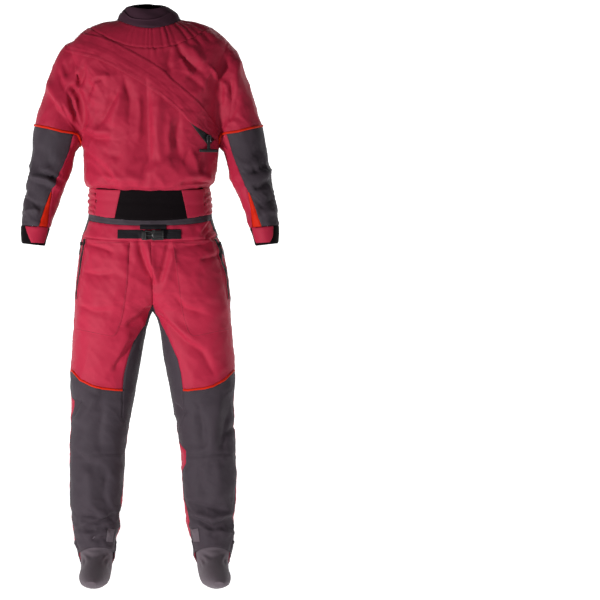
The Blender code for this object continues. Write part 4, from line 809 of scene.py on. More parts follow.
def sew(name, cloth, finish, nodes, thickness=0.0012, lift=0.00075, pinch=SEAM_PINCH, amount=1.0,
        rumple=RUMPLE, extra=None, inside=None):
    rise = lift + folds(cloth.points, cloth.normals, amount, rumple)
    rise += RIDGE * bell(cloth.away - RIDGE_AWAY, RIDGE_WIDTH) - pinch * bell(cloth.away, SEAM_WIDTH)
    if extra is not None:
        rise = rise + extra(cloth.points, cloth.normals)
    points = cloth.points + cloth.normals * rise[:, None]
    points[np.abs(cloth.points[:, 0]) < ON_MIDDLE, 0] = 0
    points = sway(points)
    piece, wall = add_cloth(name, points, cloth, finish, nodes, thickness)
    if inside is not None:
        piece.data.materials.append(inside)
        wall.material_offset = wall.material_offset_rim = 1


def keep_face(points, faces):
    """A finished surface as points, triangles and point normals, so that other pieces can lie on it."""
    triangles = np.concatenate((faces[:, (0, 1, 2)], faces[:, (0, 2, 3)])) if faces.shape[1] == 4 else faces
    a, b, c = (points[triangles[:, k]] for k in range(3))
    return points, triangles, shared(points, triangles, np.cross(b - a, c - a))


# %% [markdown]
# ## Laying one thing on another
# Flaps, pockets, zips and straps lie on finished cloth and follow its folds. A grid is drawn in a
# flat view of the suit, from the front, the back or the side, and each of its points is looked up
# in the nearest triangle of the cloth below: its place is the mean of the triangle's corners
# weighted by area, and it then rises along the normal there.

# %% Look points up on the cloth below
def view_axes(turn):
    """Sideways and outward directions of a level view. Turn 0 is the front, 90 the wearer's left, 180 the
    back."""
    t = math.radians(turn)
    return np.array((math.cos(t), math.sin(t), 0)), np.array((math.sin(t), -math.cos(t), 0))


def turning(first, second):
    """Twice the area of the triangle between pairs of flat vectors, above zero where the second is to the
    left."""
    return first[:, 0] * second[:, 1] - first[:, 1] * second[:, 0]


def lay(hosts, flat, turn=0):
    """Points and normals on the outermost of the hosts' surfaces at (sideways, height) places of a view."""
    sideways, outward = view_axes(turn)
    flat = np.asarray(flat, float)
    shape, spots = flat.shape[:-1], flat.reshape(-1, 2)
    best, place, normal = np.full(len(spots), -FAR), np.zeros((len(spots), 3)), np.zeros((len(spots), 3))
    low, high = spots.min(0) - 0.03, spots.max(0) + 0.03
    for host in hosts:
        points, triangles, normals = LAID[host]
        seen = np.stack((points @ sideways, points[:, 2]), -1)
        corners = seen[triangles]
        a, b, c = corners[:, 0], corners[:, 1], corners[:, 2]
        double = turning(b - a, c - a)
        inside = (corners.max(1) > low).all(1) & (corners.min(1) < high).all(1)
        keep = np.flatnonzero(inside & (double > 1e-12))
        a, b, c, double, used = a[keep], b[keep], c[keep], double[keep], triangles[keep]
        box_low, box_high = corners[keep].min(1) - 1e-5, corners[keep].max(1) + 1e-5
        for start in range(0, len(spots), 120):
            p = spots[start:start + 120]
            near = np.flatnonzero(((box_high >= p.min(0)) & (box_low <= p.max(0))).all(1))
            hit, which = np.nonzero(((p[:, None] >= box_low[near]) & (p[:, None] <= box_high[near])).all(2))
            which = near[which]
            q = spots[start + hit]
            v = turning(c[which] - q, a[which] - q) / double[which]
            w = turning(a[which] - q, b[which] - q) / double[which]
            u = 1 - v - w
            good = (u > -0.02) & (v > -0.02) & (w > -0.02)
            hit, tri, share = start + hit[good], used[which[good]], np.stack((u, v, w), -1)[good]
            spot = (points[tri] * share[..., None]).sum(1)
            out = (normals[tri] * share[..., None]).sum(1)
            depth = spot @ outward
            order = np.argsort(depth)
            hit, spot, out, depth = hit[order], spot[order], out[order], depth[order]
            better = depth > best[hit]
            hit = hit[better]
            best[hit], place[hit], normal[hit] = depth[better], spot[better], out[better]
    missed = best == -FAR
    if missed.any() and not missed.all():
        have = np.flatnonzero(~missed)
        nearest = have[np.argmin(((spots[missed][:, None] - spots[have][None]) ** 2).sum(2), axis=1)]
        place[missed], normal[missed] = place[nearest], normal[nearest]
        place[missed] += sideways * (spots[missed, 0] - spots[nearest, 0])[:, None]
        place[missed, 2] += spots[missed, 1] - spots[nearest, 1]
    return place.reshape(*shape, 3), unit(normal).reshape(*shape, 3), missed.reshape(shape)


def squares(curve):
    """The direction square to a flat curve, at each of its points."""
    ahead = unit(np.gradient(curve, axis=0))
    return np.stack((-ahead[:, 1], ahead[:, 0]), -1)


def strip(centre, half_width, step=0.004, across=7):
    """A grid along a curve of a flat view: a row of points at each place, square to the curve."""
    curve = smooth_line(centre, 400)
    curve = resample(curve, np.linspace(0, 1, max(4, int(length_of(curve) / step))))
    offsets = np.linspace(-1, 1, across) * half_width
    return curve[:, None] + squares(curve)[:, None] * offsets[None, :, None]


def between_lines(first, second, step=0.004):
    """A grid between two curves of a flat view, from a point on the first to the same share of the second."""
    first, second = smooth_line(first, 300), smooth_line(second, 300)
    wide = np.linalg.norm(first - second, axis=1).max()
    along_it, across = spread(length_of(first), step), spread(wide, step)
    first, second = resample(first, along_it), resample(second, along_it)
    return first[:, None] * (1 - across[None, :, None]) + second[:, None] * across[None, :, None]


def lay_on(name, flat, hosts, finish, nodes=(), turn=0, lift=0.0008, thickness=0.0009, edge=0.0,
           profile=None):
    """A piece that lies on others: its grid is looked up, raised and given its thickness. Profile
    adds a height over (distance from the edge, share along, place across from -1 to 1)."""
    place, normal, missed = lay(hosts, flat, turn)
    away = distance_in(place)
    rise = lift + thickness - edge * bell(away, 0.0022)
    if profile is not None:
        along_it = np.linspace(0, 1, flat.shape[0])[:, None]
        across = np.linspace(-1, 1, flat.shape[1])[None]
        rise = rise + profile(away, along_it, across)
    grid = place + normal * rise[..., None]
    _, outward = view_axes(turn)
    cloth = Cloth([grid], lambda centre: centre - outward * 0.1, "tblr", [missed])
    piece, _ = add_cloth(name, cloth.points, cloth, finish, nodes, thickness)
    print(f"{name}: {cloth.width * 1000:.0f} x {cloth.length * 1000:.0f} mm, {missed.sum()} past the edge")


# %% Stitches
STITCHES = []


def stitch(flat, hosts, turn=0, pitch=0.0034, lift=0.0002):
    """Notes a row of stitches along a curve of a flat view, on the outermost of the hosts."""
    curve = smooth_line(flat, 400) if len(flat) < 100 else np.asarray(flat)
    curve = resample(curve, np.linspace(0, 1, max(3, int(length_of(curve) / pitch) + 1)))
    place, normal, _ = lay(hosts, curve, turn)
    STITCHES.append((place + normal * lift, normal))


def sew_stitches(name, finish, radius=0.00035, fill=0.66):
    """One mesh of all noted stitches: each is a spindle of four sides between two points of its row."""
    template = np.array([(0, 0, 0)] + [(x, math.cos(a), math.sin(a)) for x in (0.3, 0.7)
                                       for a in (0, math.pi / 2, math.pi, 3 * math.pi / 2)] + [(1, 0, 0)])
    tri = [(0, 2, 1), (0, 3, 2), (0, 4, 3), (0, 1, 4), (9, 5, 6), (9, 6, 7), (9, 7, 8), (9, 8, 5)]
    for k in range(4):
        n = (k + 1) % 4
        tri += [(1 + k, 1 + n, 5 + n), (1 + k, 5 + n, 5 + k)]
    points, faces, start = [], [], 0
    for place, normal in STITCHES:
        a, b, n = place[:-1], place[1:], normal[:-1]
        run = (b - a) * fill
        side = unit(np.cross(run, n))
        made = a[:, None] + run[:, None] * template[None, :, :1] + radius * (
            side[:, None] * template[None, :, 1:2] + n[:, None] * template[None, :, 2:3])
        points.append(made.reshape(-1, 3))
        faces.append((start + np.arange(len(a))[:, None, None] * 10 + np.array(tri)[None]).reshape(-1, 3))
        start += len(a) * 10
    STITCHES.clear()
    points, faces = np.concatenate(points), np.concatenate(faces)
    centres = points.reshape(-1, 10, 3).mean(1)[faces[:, 0] // 10]
    add_mesh(name, points, facing_out(points, faces, centres), finish)
    print(f"{name}: {len(points) // 10} stitches")


# %% [markdown]
# ## Finishes
# Each finish is a small node network. Laminated cloth is a plain weave so fine that it shows only
# as grain: two crossing waves in the cloth's own map give it, and a broad noise mottles the colour
# a little. Foamed rubber has a soft velvet face. Metal and moulded plastic read smooth and glossy.

# %% Mix the finishes
def start_finish(name, colour):
    """A new material and its face, with a function that adds a node and joins outputs of others to its
    inputs."""
    made = bpy.data.materials.new(name)
    made.use_nodes = True
    made.diffuse_color = (*colour, 1)

    def node(kind, wires=(), **settings):
        added = made.node_tree.nodes.new(kind)
        for key, value in settings.items():
            if key.replace("_", " ") in added.inputs:
                added.inputs[key.replace("_", " ")].default_value = value
            else:
                setattr(added, key, value)
        for socket, output in wires:
            made.node_tree.links.new(output, added.inputs[socket])
        return added

    def finish_face(colour_from, roughness_from, **settings):
        """Tints the colour by one value, takes the roughness from another, and sets the rest."""
        tint = node("ShaderNodeVectorMath", [("Scale", colour_from)], operation="SCALE")
        tint.inputs[0].default_value = colour
        face = made.node_tree.nodes["Principled BSDF"]
        made.node_tree.links.new(tint.outputs["Vector"], face.inputs["Base Color"])
        made.node_tree.links.new(roughness_from, face.inputs["Roughness"])
        for key, value in settings.items():
            face.inputs[key.replace("_", " ")].default_value = value
        return face

    return made, node, finish_face


def cloth_finish(name, colour, roughness, grain=0.1, pitch=0.0011, sheen=0.02, mottle=0.05, bump=0.25,
                 shine=0.2):
    """Woven or knitted cloth: bump from two crossing waves in the weave map, colour varied by a slow
    noise."""
    made, node, finish_face = start_finish(name, colour)
    weave = node("ShaderNodeUVMap", uv_map="weave").outputs["UV"]
    waves = [node("ShaderNodeTexWave", [("Vector", weave)], wave_type="BANDS", bands_direction=direction,
                  Scale=0.314 / pitch, Distortion=0.0).outputs["Fac"] for direction in ("X", "Y")]
    crossed = node("ShaderNodeMath", enumerate(waves), operation="MULTIPLY").outputs[0]
    place = node("ShaderNodeTexCoord").outputs["Object"]
    slow = node("ShaderNodeTexNoise", [("Vector", place)], Scale=9.0, Detail=5.0,
                Roughness=0.6).outputs["Fac"]
    fine = node("ShaderNodeTexNoise", [("Vector", place)], Scale=420.0, Detail=2.0).outputs["Fac"]
    total = node("ShaderNodeMath", [(0, slow), (2, fine)], operation="MULTIPLY_ADD")
    total.inputs[1].default_value = 0.7
    ramp = node("ShaderNodeMapRange", [("Value", total.outputs[0])], From_Min=0.55, From_Max=1.15,
                To_Min=1 - mottle, To_Max=1 + mottle)
    rough = node("ShaderNodeMapRange", [("Value", crossed)], To_Min=roughness + grain / 2,
                 To_Max=roughness - grain / 2)
    face = finish_face(ramp.outputs["Result"], rough.outputs["Result"], Sheen_Weight=sheen,
                       Sheen_Roughness=0.5, Specular_IOR_Level=shine)
    height = node("ShaderNodeBump", [("Height", crossed)], Strength=bump, Distance=0.0004)
    made.node_tree.links.new(height.outputs["Normal"], face.inputs["Normal"])
    return made


def hard_finish(name, colour, roughness, metallic=0.0, coat=0.0, grain=0.06):
    """Moulded plastic or metal: one colour, a little uneven in its shine and colour."""
    made, node, finish_face = start_finish(name, colour)
    place = node("ShaderNodeTexCoord").outputs["Object"]
    noise = node("ShaderNodeTexNoise", [("Vector", place)], Scale=160.0).outputs["Fac"]
    rough, scale = (node("ShaderNodeMapRange", [("Value", noise)], To_Min=low, To_Max=high).outputs["Result"]
                    for low, high in ((roughness - grain, roughness + grain), (0.85, 1.15)))
    finish_face(scale, rough, Metallic=metallic, Coat_Weight=coat)
    return made


RED = cloth_finish("red_cloth", (0.41, 0.014, 0.046), 0.58)
GREY = cloth_finish("grey_cloth", (0.05, 0.038, 0.048), 0.6, shine=0.12)
ORANGE = cloth_finish("orange_cloth", (0.58, 0.015, 0.002), 0.55, shine=0.12)
PLUM = cloth_finish("plum_neoprene", (0.06, 0.025, 0.04), 0.72, pitch=0.0016, bump=0.15, shine=0.08)
BLACK = cloth_finish("black_neoprene", (0.0045, 0.0028, 0.0036), 0.7, pitch=0.0016, bump=0.15, shine=0.05)
WEBBING = cloth_finish("black_webbing", (0.013, 0.011, 0.014), 0.62, pitch=0.0022, bump=0.6, shine=0.1)
TAPE = hard_finish("zip_tape", (0.006, 0.005, 0.006), 0.44, coat=0.05)
SOCKS = cloth_finish("grey_sock", (0.118, 0.094, 0.11), 0.66, sheen=0.05, shine=0.1)
PLASTIC = hard_finish("black_plastic", (0.006, 0.005, 0.006), 0.42)
METAL = hard_finish("dark_metal", (0.1, 0.1, 0.11), 0.3, metallic=1.0)
RED_THREAD = hard_finish("red_thread", (0.27, 0.012, 0.032), 0.6)
ZIP_CLOTH = cloth_finish("zip_cloth", (0.01, 0.007, 0.009), 0.6, pitch=0.0016, bump=0.3, shine=0.1)
DARK_THREAD = hard_finish("dark_thread", (0.02, 0.018, 0.021), 0.6)
print("finishes:", len(bpy.data.materials), "with the floor's and the frame's own")


# %% [markdown]
# ## The blouse
# The red top is one garment part: a front, a yoke and lower back, and both upper sleeves, sewn from
# one cloth. Its front is a grid on the torso whose ends follow the armhole, and each sleeve starts
# at the very points where the front and back stop, so the shoulder runs through without a gap.

# %% Cut the blouse
AROUND = 64  # points on half an armhole


def across_armhole(angle, row):
    """Above zero outside the sleeve's oval, seen from the side."""
    point = torso(angle, row)
    return (((point[..., 1] - ARMHOLE["behind"]) / ARMHOLE["half_depth"]) ** 2
            + ((point[..., 2] - ARMHOLE["height"]) / ARMHOLE["half_height"]) ** 2 - 1)


def side_row(low, high):
    """The row between two others where the side line meets the oval."""
    return float(solve(lambda r: across_armhole(np.full_like(r, np.pi / 2), r), [low], [high])[0])


hole_top, hole_foot = side_row(TUNNEL + 0.0, 8.0), side_row(8.0, BLOUSE - 1.0)
share = np.linspace(0, 1, AROUND)
share = 0.35 * share + 0.65 * (1 - np.cos(np.pi * share)) / 2
hole_rows = hole_top + (hole_foot - hole_top) * share
print(f"armholes from row {hole_top:.2f} to {hole_foot:.2f}")


def limit_angle(rows, back):
    """How far a front or back patch reaches round the side at each row: to the armhole, or to the side
    line."""
    side = np.full_like(rows, np.pi / 2)
    middle = np.full_like(rows, np.pi if back else 0.0)
    inside = (rows > hole_top + 1e-9) & (rows < hole_foot - 1e-9)
    found = solve(lambda a: across_armhole(a, rows), middle * 0.6 + side * 0.4, side)
    return np.where(inside, found, side)


def body_grid(rows, back):
    """A patch from one side to the other, its lines spread evenly in distance between its own limits."""
    limit = limit_angle(rows, back)[:, None]
    low, high = (limit, 2 * np.pi - limit) if back else (-limit, limit)
    fine = low + (high - low) * np.linspace(0, 1, 300)[None]
    spots = torso(fine, np.repeat(rows[:, None], 300, 1))
    shares = spread(0.56)
    angles = np.stack([resample(f[:, None], shares, s)[:, 0] for f, s in zip(fine, spots)])
    return torso(angles, np.repeat(rows[:, None], angles.shape[1], 1))


above = TUNNEL + (hole_top - TUNNEL) * spread(0.05, 0.005)[:-1]
below = hole_foot + (BLOUSE - hole_foot) * np.linspace(0, 1, 22)[1:]
below[-4:] = BLOUSE - np.array((0.45, 0.22, 0.09, 0))
front_rows = np.concatenate((above, hole_rows, below))
blouse_front, blouse_back = (body_grid(front_rows, back) for back in (False, True))


PIPING_LINE = ((0.19, -0.279), (0.215, -0.272), (0.245, -0.268), (0.28, -0.259), (0.33, -0.2475))


def piping_row(hand):
    """The row at each angle of the piping, a nearly level line that dips under the arm."""
    def found(angle):
        def value(row):
            point = sleeve_ring(angle, row, hand)
            return point[..., 2] - line(PIPING_LINE, np.abs(point[..., 0]))
        low = np.full_like(angle, 0.45)
        return np.where(value(low) > 0, solve(value, low, np.full_like(angle, 7.0)), low)
    return found


def upper_sleeve(hand):
    """A sleeve from the armhole's points to the piping: each column is a Catmull-Rom curve from the torso's
    own tangent, through the first ring, to the piping's ring."""
    rows = slice(len(above), len(above) + AROUND)

    def loop(front, back):
        """Down one column of the front, up one of the back, and round to the start."""
        return np.concatenate((blouse_front[rows, front], blouse_back[rows, back][-2:0:-1],
                               blouse_front[rows, front][:1]))

    ring, before = (loop(-1, 0), loop(-5, 4)) if hand > 0 else (loop(0, -1), loop(4, -5))
    angle = np.arctan2((ring[:, 1] - ARMHOLE["behind"]) / ARMHOLE["half_depth"],
                       (ring[:, 2] - ARMHOLE["height"]) / ARMHOLE["half_height"])
    rings = [sleeve_ring(angle, np.full(len(angle), float(r)), hand) for r in range(PIPING + 2)]
    reach = 0.6 * np.linalg.norm(rings[0] - ring, axis=1)[:, None]
    column = np.stack([ring - unit(ring - before) * reach, ring, *rings, 2 * rings[-1] - rings[-2]])
    last = piping_row(hand)(angle)
    shares = np.unique(np.round(np.concatenate((np.linspace(0, 0.93, 30), (0.955, 0.972, 0.985, 0.994, 1))),
                                4))
    dense = np.linspace(0, 1, 160)
    return np.stack([resample(between_rings(column[:, k], 1 + dense * (1 + last[k])), shares)
                     for k in range(len(angle))], 1)


def torso_middle(centre):
    """A point inside the torso or sleeve near each face, so that outwards is known."""
    middle = centre.copy()
    arm = np.abs(centre[:, 0]) > 0.225
    middle[:, 0] = np.where(arm, np.sign(centre[:, 0]) * np.interp(-centre[:, 2], (0.02, 0.3), (0.17, 0.262)),
                            0)
    middle[:, 1] = 0
    middle[:, 2] = np.where(arm, centre[:, 2] - 0.02, centre[:, 2] - 0.03)
    return middle


sleeves = {side: upper_sleeve(hand) for side, hand in SIDES.items()}
blouse = Cloth([blouse_front, blouse_back, sleeves["left"], sleeves["right"]], torso_middle,
               ["tb", "tb", "b", "b"])


def blouse_extra(points, normals):
    """The seam across the back, and the pleats of the neck running out in the cloth below it."""
    x, y, z = points.T
    angle = np.arctan2(x, -y)
    below = np.clip(1 - np.abs(z - line(((0, -0.036), (0.11, -0.024), (0.18, 0.0)), np.abs(x))) / 0.042, 0,
                    1) ** 1.5
    left = np.interp(angle, (-3.14, -0.9, -0.3, 0.2, 1.5, 2.2), (0.3, 0.35, 0.25, 1.0, 1.0, 0.3))
    pleats = 0.004 * below * left * (np.abs(np.sin((angle * 30 + 2 * np.sin(angle * 6)) / 2)) - 0.6)
    behind = normals[:, 1] > 0.2
    seam = line(((-0.21, -0.19), (0, -0.1905), (0.21, -0.19)), x)
    pinch = 0.0007 * bell(z - seam + 0.008, 0.004) - 0.0012 * bell(z - seam, 0.0028)
    return pinch * behind * (np.abs(x) < 0.206) + pleats * (np.abs(x) < 0.19)


sew("blouse", blouse, RED, ("front_upper", "front_lower", "back_upper", "back_lower", "sleeve_upper_left",
                            "sleeve_upper_right"), extra=blouse_extra)

# %% [markdown]
# ## Neck: tunnel, collar and gasket
# A drawcord runs in a tunnel of cloth round the neck. Drawn up, it gathers the cloth into upright
# pleats that fade out below. Above it stands a soft collar, wrapped over at the front.

# %% Sew the neck
def ring_rows(tube, low, high, step=0.005, around=0.0035, girth=0.8):
    """A closed tube of cloth between two rows."""
    count = int(girth / around)
    angles = np.linspace(-np.pi, np.pi, count + 1)
    size = length_of(tube(np.zeros(2), np.array((low, high), float)))
    rows = low + (high - low) * spread(max(size, 0.03), step)
    grid = tube(np.repeat(angles[None], len(rows), 0), np.repeat(rows[:, None], count + 1, 1))
    grid[:, -1] = grid[:, 0]
    return grid


def gathers(points, normals):
    """Pleats that stand in the tunnel: many and fine, sharper and deeper towards the wearer's left of the
    front."""
    angle = np.arctan2(points[:, 0], -points[:, 1])
    depth = np.interp(angle, (-3.14, -1.2, -0.4, 0.1, 0.4, 1.4, 1.9, 3.14),
                      (0.5, 0.4, 0.45, 0.9, 1.3, 1.3, 0.6, 0.5))
    phase = angle * 37 + 1.7 * np.sin(angle * 5 + 1) + 1.3 * np.sin(angle * 11 + 0.4)
    uneven = 0.65 + 0.35 * np.sin(angle * 13 + 2)
    middle = np.interp(points[:, 2] + 0.045 * np.abs(np.cos(angle)), (-0.02, 0.0, 0.05, 0.08),
                       (0.7, 1, 1, 0.4))
    return 0.0034 * depth * uneven * middle * (np.abs(np.sin(phase / 2)) ** 0.8 - 0.6)


neck_middle = lambda centre: centre * (0, 0, 1) + (0, 0, -0.05)
sew("neck_tunnel_cloth", Cloth([ring_rows(torso, NECK, TUNNEL, 0.004, 0.0028)], neck_middle, "tb"), RED,
    ("neck_tunnel",), extra=gathers, rumple=0.0012, pinch=0.0005)


def soft_bulges(points, normals):
    """Soft rolls of the collar."""
    x, y, z = points.T
    rolls = 0.0016 * np.sin(x * 60 + z * 90) * np.sin(z * 70 + 0.6)
    return rolls + 0.0012 * np.sin(np.arctan2(x, -y) * 4 + z * 60)


sew("collar", Cloth([ring_rows(torso, 0, NECK, 0.0035, 0.004, 0.6)], neck_middle, "tb"), PLUM,
    ("collar_band",), thickness=0.0026, lift=0.0016, extra=soft_bulges, rumple=0.0, amount=0.0, pinch=0.0005)

# %% [markdown]
# ## Panels between seams
# A patch on a tube is bounded by four seams. Its left and right ones are given as an angle at every
# row, its top and bottom ones as a row at every angle, and its corners are where they cross.

# %% Patches between four seams
def patch(tube, left, right, top, bottom, rows, step=0.005):
    """A panel grid. Left and right turn rows into angles, top and bottom turn angles into rows, or are one
    row."""
    def as_rows(seam):
        return seam if callable(seam) else (lambda angle: np.full_like(angle, float(seam)))

    def corner(side, seam):
        return float(solve(lambda r: r - seam(side(r)), [rows[0]], [rows[1]])[0])

    top, bottom = as_rows(top), as_rows(bottom)
    corners = [corner(side, seam) for seam in (top, bottom) for side in (left, right)]
    share = np.linspace(0, 1, 200)

    def seam_line(seam, low, high):
        a, b = (float(side(np.array([r]))[0]) for side, r in ((left, low), (right, high)))
        angles = a + (b - a) * share
        found = seam(angles)
        found[0], found[-1] = low, high
        return np.column_stack((angles, found))

    def side_line(side, low, high):
        spots = low + (high - low) * share
        return np.column_stack((side(spots), spots))

    return panel(tube, seam_line(top, *corners[:2]), seam_line(bottom, *corners[2:]),
                 side_line(left, corners[0], corners[2]), side_line(right, corners[1], corners[3]), step)


def seam_row(tube, points, low, high):
    """The row at each angle where a tube crosses a seam of (distance from the middle, height) points."""
    def found(angle):
        return solve(lambda r: tube(angle, r)[..., 2] - line(points, np.abs(tube(angle, r)[..., 0])),
                     np.full_like(angle, low), np.full_like(angle, high))
    return found


def fixed(angle):
    """A seam at one angle."""
    return lambda rows: np.full_like(rows, float(angle))


# %% [markdown]
# ## Lower sleeves and cuffs
# Below the piping each sleeve is grey outside and red inside, with a small orange wedge at the
# wrist, all cut on one tube. The cuffs are soft black rubber.

# %% Sew the lower sleeves
UNDER_FRONT = ((-0.25, 0.207), (-0.274, 0.212), (-0.356, 0.24), (-0.431, 0.273), (-0.529, 0.286),
               (-0.6, 0.292))
UNDER_BACK = ((-0.25, 0.2), (-0.28, 0.207), (-0.49, 0.291), (-0.529, 0.3), (-0.6, 0.305))
APEX = 9.02  # the row where the wedge begins
WEDGE_EDGE = ((-0.25, 0.19), (-0.4, 0.2555), (-0.431, 0.274), (-0.529, 0.31), (-0.6, 0.33))


def arm_of(hand):
    """The tube of one sleeve."""
    return lambda angle, row: sleeve_ring(angle, row, hand)


def arm_edge(hand, *tables, back=False):
    """The angle at each row where the arm's distance from the middle meets the outermost of the seams."""
    def found(rows):
        def value(angle):
            point = sleeve_ring(angle, rows, hand)
            return np.abs(point[..., 0]) - np.max([line(table, point[..., 2]) for table in tables], axis=0)
        return solve(value, np.full_like(rows, np.pi if back else -np.pi), np.zeros_like(rows))
    return found


def arm_middle(centre):
    """The middle line of the sleeve beside each face."""
    middle = centre.copy()
    drop = np.interp(-centre[:, 2], (0.26, 0.35, 0.43, 0.5, 0.6), (0.262, 0.274, 0.295, 0.314, 0.326))
    middle[:, 0] = np.sign(centre[:, 0]) * drop
    middle[:, 1] = np.interp(-centre[:, 2], (0.26, 0.43, 0.6), (-0.006, -0.028, -0.065))
    return middle


for side, hand in SIDES.items():
    arm = arm_of(hand)
    under_front, under_back = arm_edge(hand, UNDER_FRONT), arm_edge(hand, UNDER_BACK, back=True)
    wedge_front = arm_edge(hand, UNDER_FRONT, WEDGE_EDGE)
    outer_front = lambda rows: np.where(rows < APEX, under_front(rows), wedge_front(rows))
    outer = patch(arm, outer_front, under_back, piping_row(hand), CLOTH_END, (0.1, CLOTH_END + 0.01))
    under = patch(arm, lambda rows: 2 * np.pi + under_front(rows), under_back, piping_row(hand), CLOTH_END,
                  (0.1, CLOTH_END + 0.01))
    wedge = patch(arm, wedge_front, under_front, APEX, CLOTH_END, (APEX - 0.01, CLOTH_END + 0.01), 0.004)
    sew(f"sleeve_outer_cloth_{side}", Cloth([outer], arm_middle), GREY, (f"sleeve_outer_{side}",))
    sew(f"sleeve_under_cloth_{side}", Cloth([under], arm_middle), RED, (f"sleeve_under_{side}",))
    sew(f"sleeve_wedge_cloth_{side}", Cloth([wedge], arm_middle), ORANGE, (f"sleeve_wedge_{side}",),
        rumple=0.001)
    cuff = ring_rows(arm, CLOTH_END, CUFF_END, 0.004, 0.0035, 0.26)
    sew(f"cuff_rubber_{side}", Cloth([cuff], arm_middle, "tb"), BLACK, (f"cuff_{side}",), thickness=0.0024,
        lift=0.001, rumple=0.0008, amount=0.3)

# %% [markdown]
# ## Waist
# An overskirt of stretchy rubber closes over the spray skirt: black in front, plum behind, with red
# elastic parts at the sides that ruffle between their two edges.

# %% Sew the waist
SIDE_LOW, SIDE_HIGH = math.radians(57.7), math.radians(122.3)


def ruffles(points, normals):
    """Small uneven bulges that run round the side, pressed flat at the upper and lower edges."""
    x, y, z = points.T
    top, foot = (np.interp(np.abs(y), (0, 0.12), ends) for ends in ((-0.424, -0.432), (-0.498, -0.512)))
    t = np.clip((top - z) / (top - foot), 0, 1)
    flat = np.clip(np.minimum(t, 1 - t) / 0.12, 0, 1)
    bent = t + 0.05 * np.sin(y * 46 + np.sign(x)) + 0.03 * np.sin(y * 121)
    high = 0.6 + 0.4 * np.sin(y * 63 + 9 * t + 2 * np.sign(x))
    waves = np.sin(2 * np.pi * (4.6 * bent + 0.1)) + 0.5 * np.sin(2 * np.pi * (8.3 * bent + 0.3))
    return 0.0034 * flat * high * waves


def waist_curve(points, normals):
    """Rubber drawn in at the middle of its height, with one soft crease."""
    return -0.0014 * bell(points[:, 2] + 0.468 + 0.05 * points[:, 0], 0.007)


waist_middle = lambda centre: centre * (0, 0, 1)
rows = (BLOUSE - 0.01, SKIRT + 0.01)
for name, finish, low, high, nodes in (
        ("waist_front_rubber", BLACK, -SIDE_LOW, SIDE_LOW, ("waist_front",)),
        ("waist_back_rubber", PLUM, SIDE_HIGH, 2 * np.pi - SIDE_HIGH, ("waist_back",))):
    sew(name, Cloth([patch(torso, fixed(low), fixed(high), BLOUSE, SKIRT, rows)], waist_middle), finish,
        nodes, thickness=0.0024, lift=0.0012, extra=waist_curve, rumple=0.0008, amount=0.4)
for side, hand in SIDES.items():
    low, high = (SIDE_LOW, SIDE_HIGH) if hand > 0 else (-SIDE_HIGH, -SIDE_LOW)
    side_patch = patch(torso, fixed(low), fixed(high), BLOUSE, SKIRT, rows, 0.0035)
    sew(f"waist_side_cloth_{side}", Cloth([side_patch], waist_middle), RED, (f"waist_side_{side}",),
        extra=ruffles, rumple=0.0014)

# %% [markdown]
# ## Trousers
# Below the overskirt come a grey binding and a red waistband. Each leg has a red front to above the
# knee and a grey shin. Behind, one grey seat reaches from the waist to the middle of the thighs,
# with red calves under it, and a grey gusset runs through the crotch down the inside of both legs.

# %% Seams of the trousers
THIGH_SEAM = ((0.0, -0.991), (0.1, -0.99), (0.14, -0.986), (0.17, -0.978), (0.2, -0.962), (0.225, -0.936))
SEAT_SEAM = ((0.0, -0.918), (0.07, -0.917), (0.14, -0.908), (0.18, -0.89), (0.22, -0.868))
GUSSET_FRONT = ((-0.742, -0.006), (-0.77, 0.008), (-0.8, 0.02), (-0.843, 0.043), (-0.9, 0.068),
                (-0.946, 0.079), (-1.0, 0.085), (-1.06, 0.086), (-1.14, 0.066))
GUSSET_BACK = ((-0.744, -0.006), (-0.776, 0.008), (-0.85, 0.032), (-0.92, 0.048), (-1.0, 0.062),
               (-1.06, 0.07), (-1.14, 0.066))
GUSSET_FOOT = -1.13
OUTSEAM = ((-0.5, -0.041), (-0.545, -0.036), (-0.575, -0.012), (-0.735, -0.008), (-0.8, 0.0))
LEG = leg_of(1)


def inner_edge(table, back, floor_at=0.0):
    """The angle at each row of the seam beside the gusset, or of the middle of the suit above it."""
    def found(rows):
        def value(angle):
            point = LEG(angle, rows)
            return point[..., 0] - np.maximum(line(table, point[..., 2]), floor_at)
        side = np.full_like(rows, 1.5 * np.pi if back else -np.pi / 2)
        far = np.full_like(rows, 0.8 * np.pi if back else 0.5)
        return np.where(value(side) < 0, solve(value, far, side), side)
    return found


def outer_edge(rows):
    """The angle at each row of the outer seam."""
    return solve(lambda a: LEG(a, rows)[..., 1] - line(OUTSEAM, LEG(a, rows)[..., 2]), np.zeros_like(rows),
                 np.full_like(rows, np.pi))


# how far the calf's seams are moved round the leg: (height, angle), for the left and the right leg
SEAM_IN = {
    1: ((-1.13, 0), (-1.16, 0.66), (-1.195, 0.6), (-1.225, 0.12), (-1.3, 0.12), (-1.335, 0.5), (-1.362, 0.45),
        (-1.395, 0.1), (-1.45, 0)),
    -1: ((-1.14, 0), (-1.25, 0.05), (-1.285, 0.24), (-1.35, 0.2), (-1.38, 0)),
}
SEAM_OUT = {
    1: ((-0.96, 0), (-1.0, 0.14), (-1.12, 0.1), (-1.3, 0.16), (-1.39, 0.14), (-1.42, 0)),
    -1: ((-0.99, 0), (-1.008, 0.1), (-1.02, 0.46), (-1.04, 0.42), (-1.06, 0.2), (-1.2, 0.12), (-1.27, 0)),
}


def shifted_seam(edge, hand, table, sign):
    """A seam moved round the leg by an angle that depends on height: the calf shows a little from the
    front."""
    def found(rows):
        angle = edge(rows)
        return angle + sign * line(table[hand], LEG(angle, rows)[..., 2])
    return found


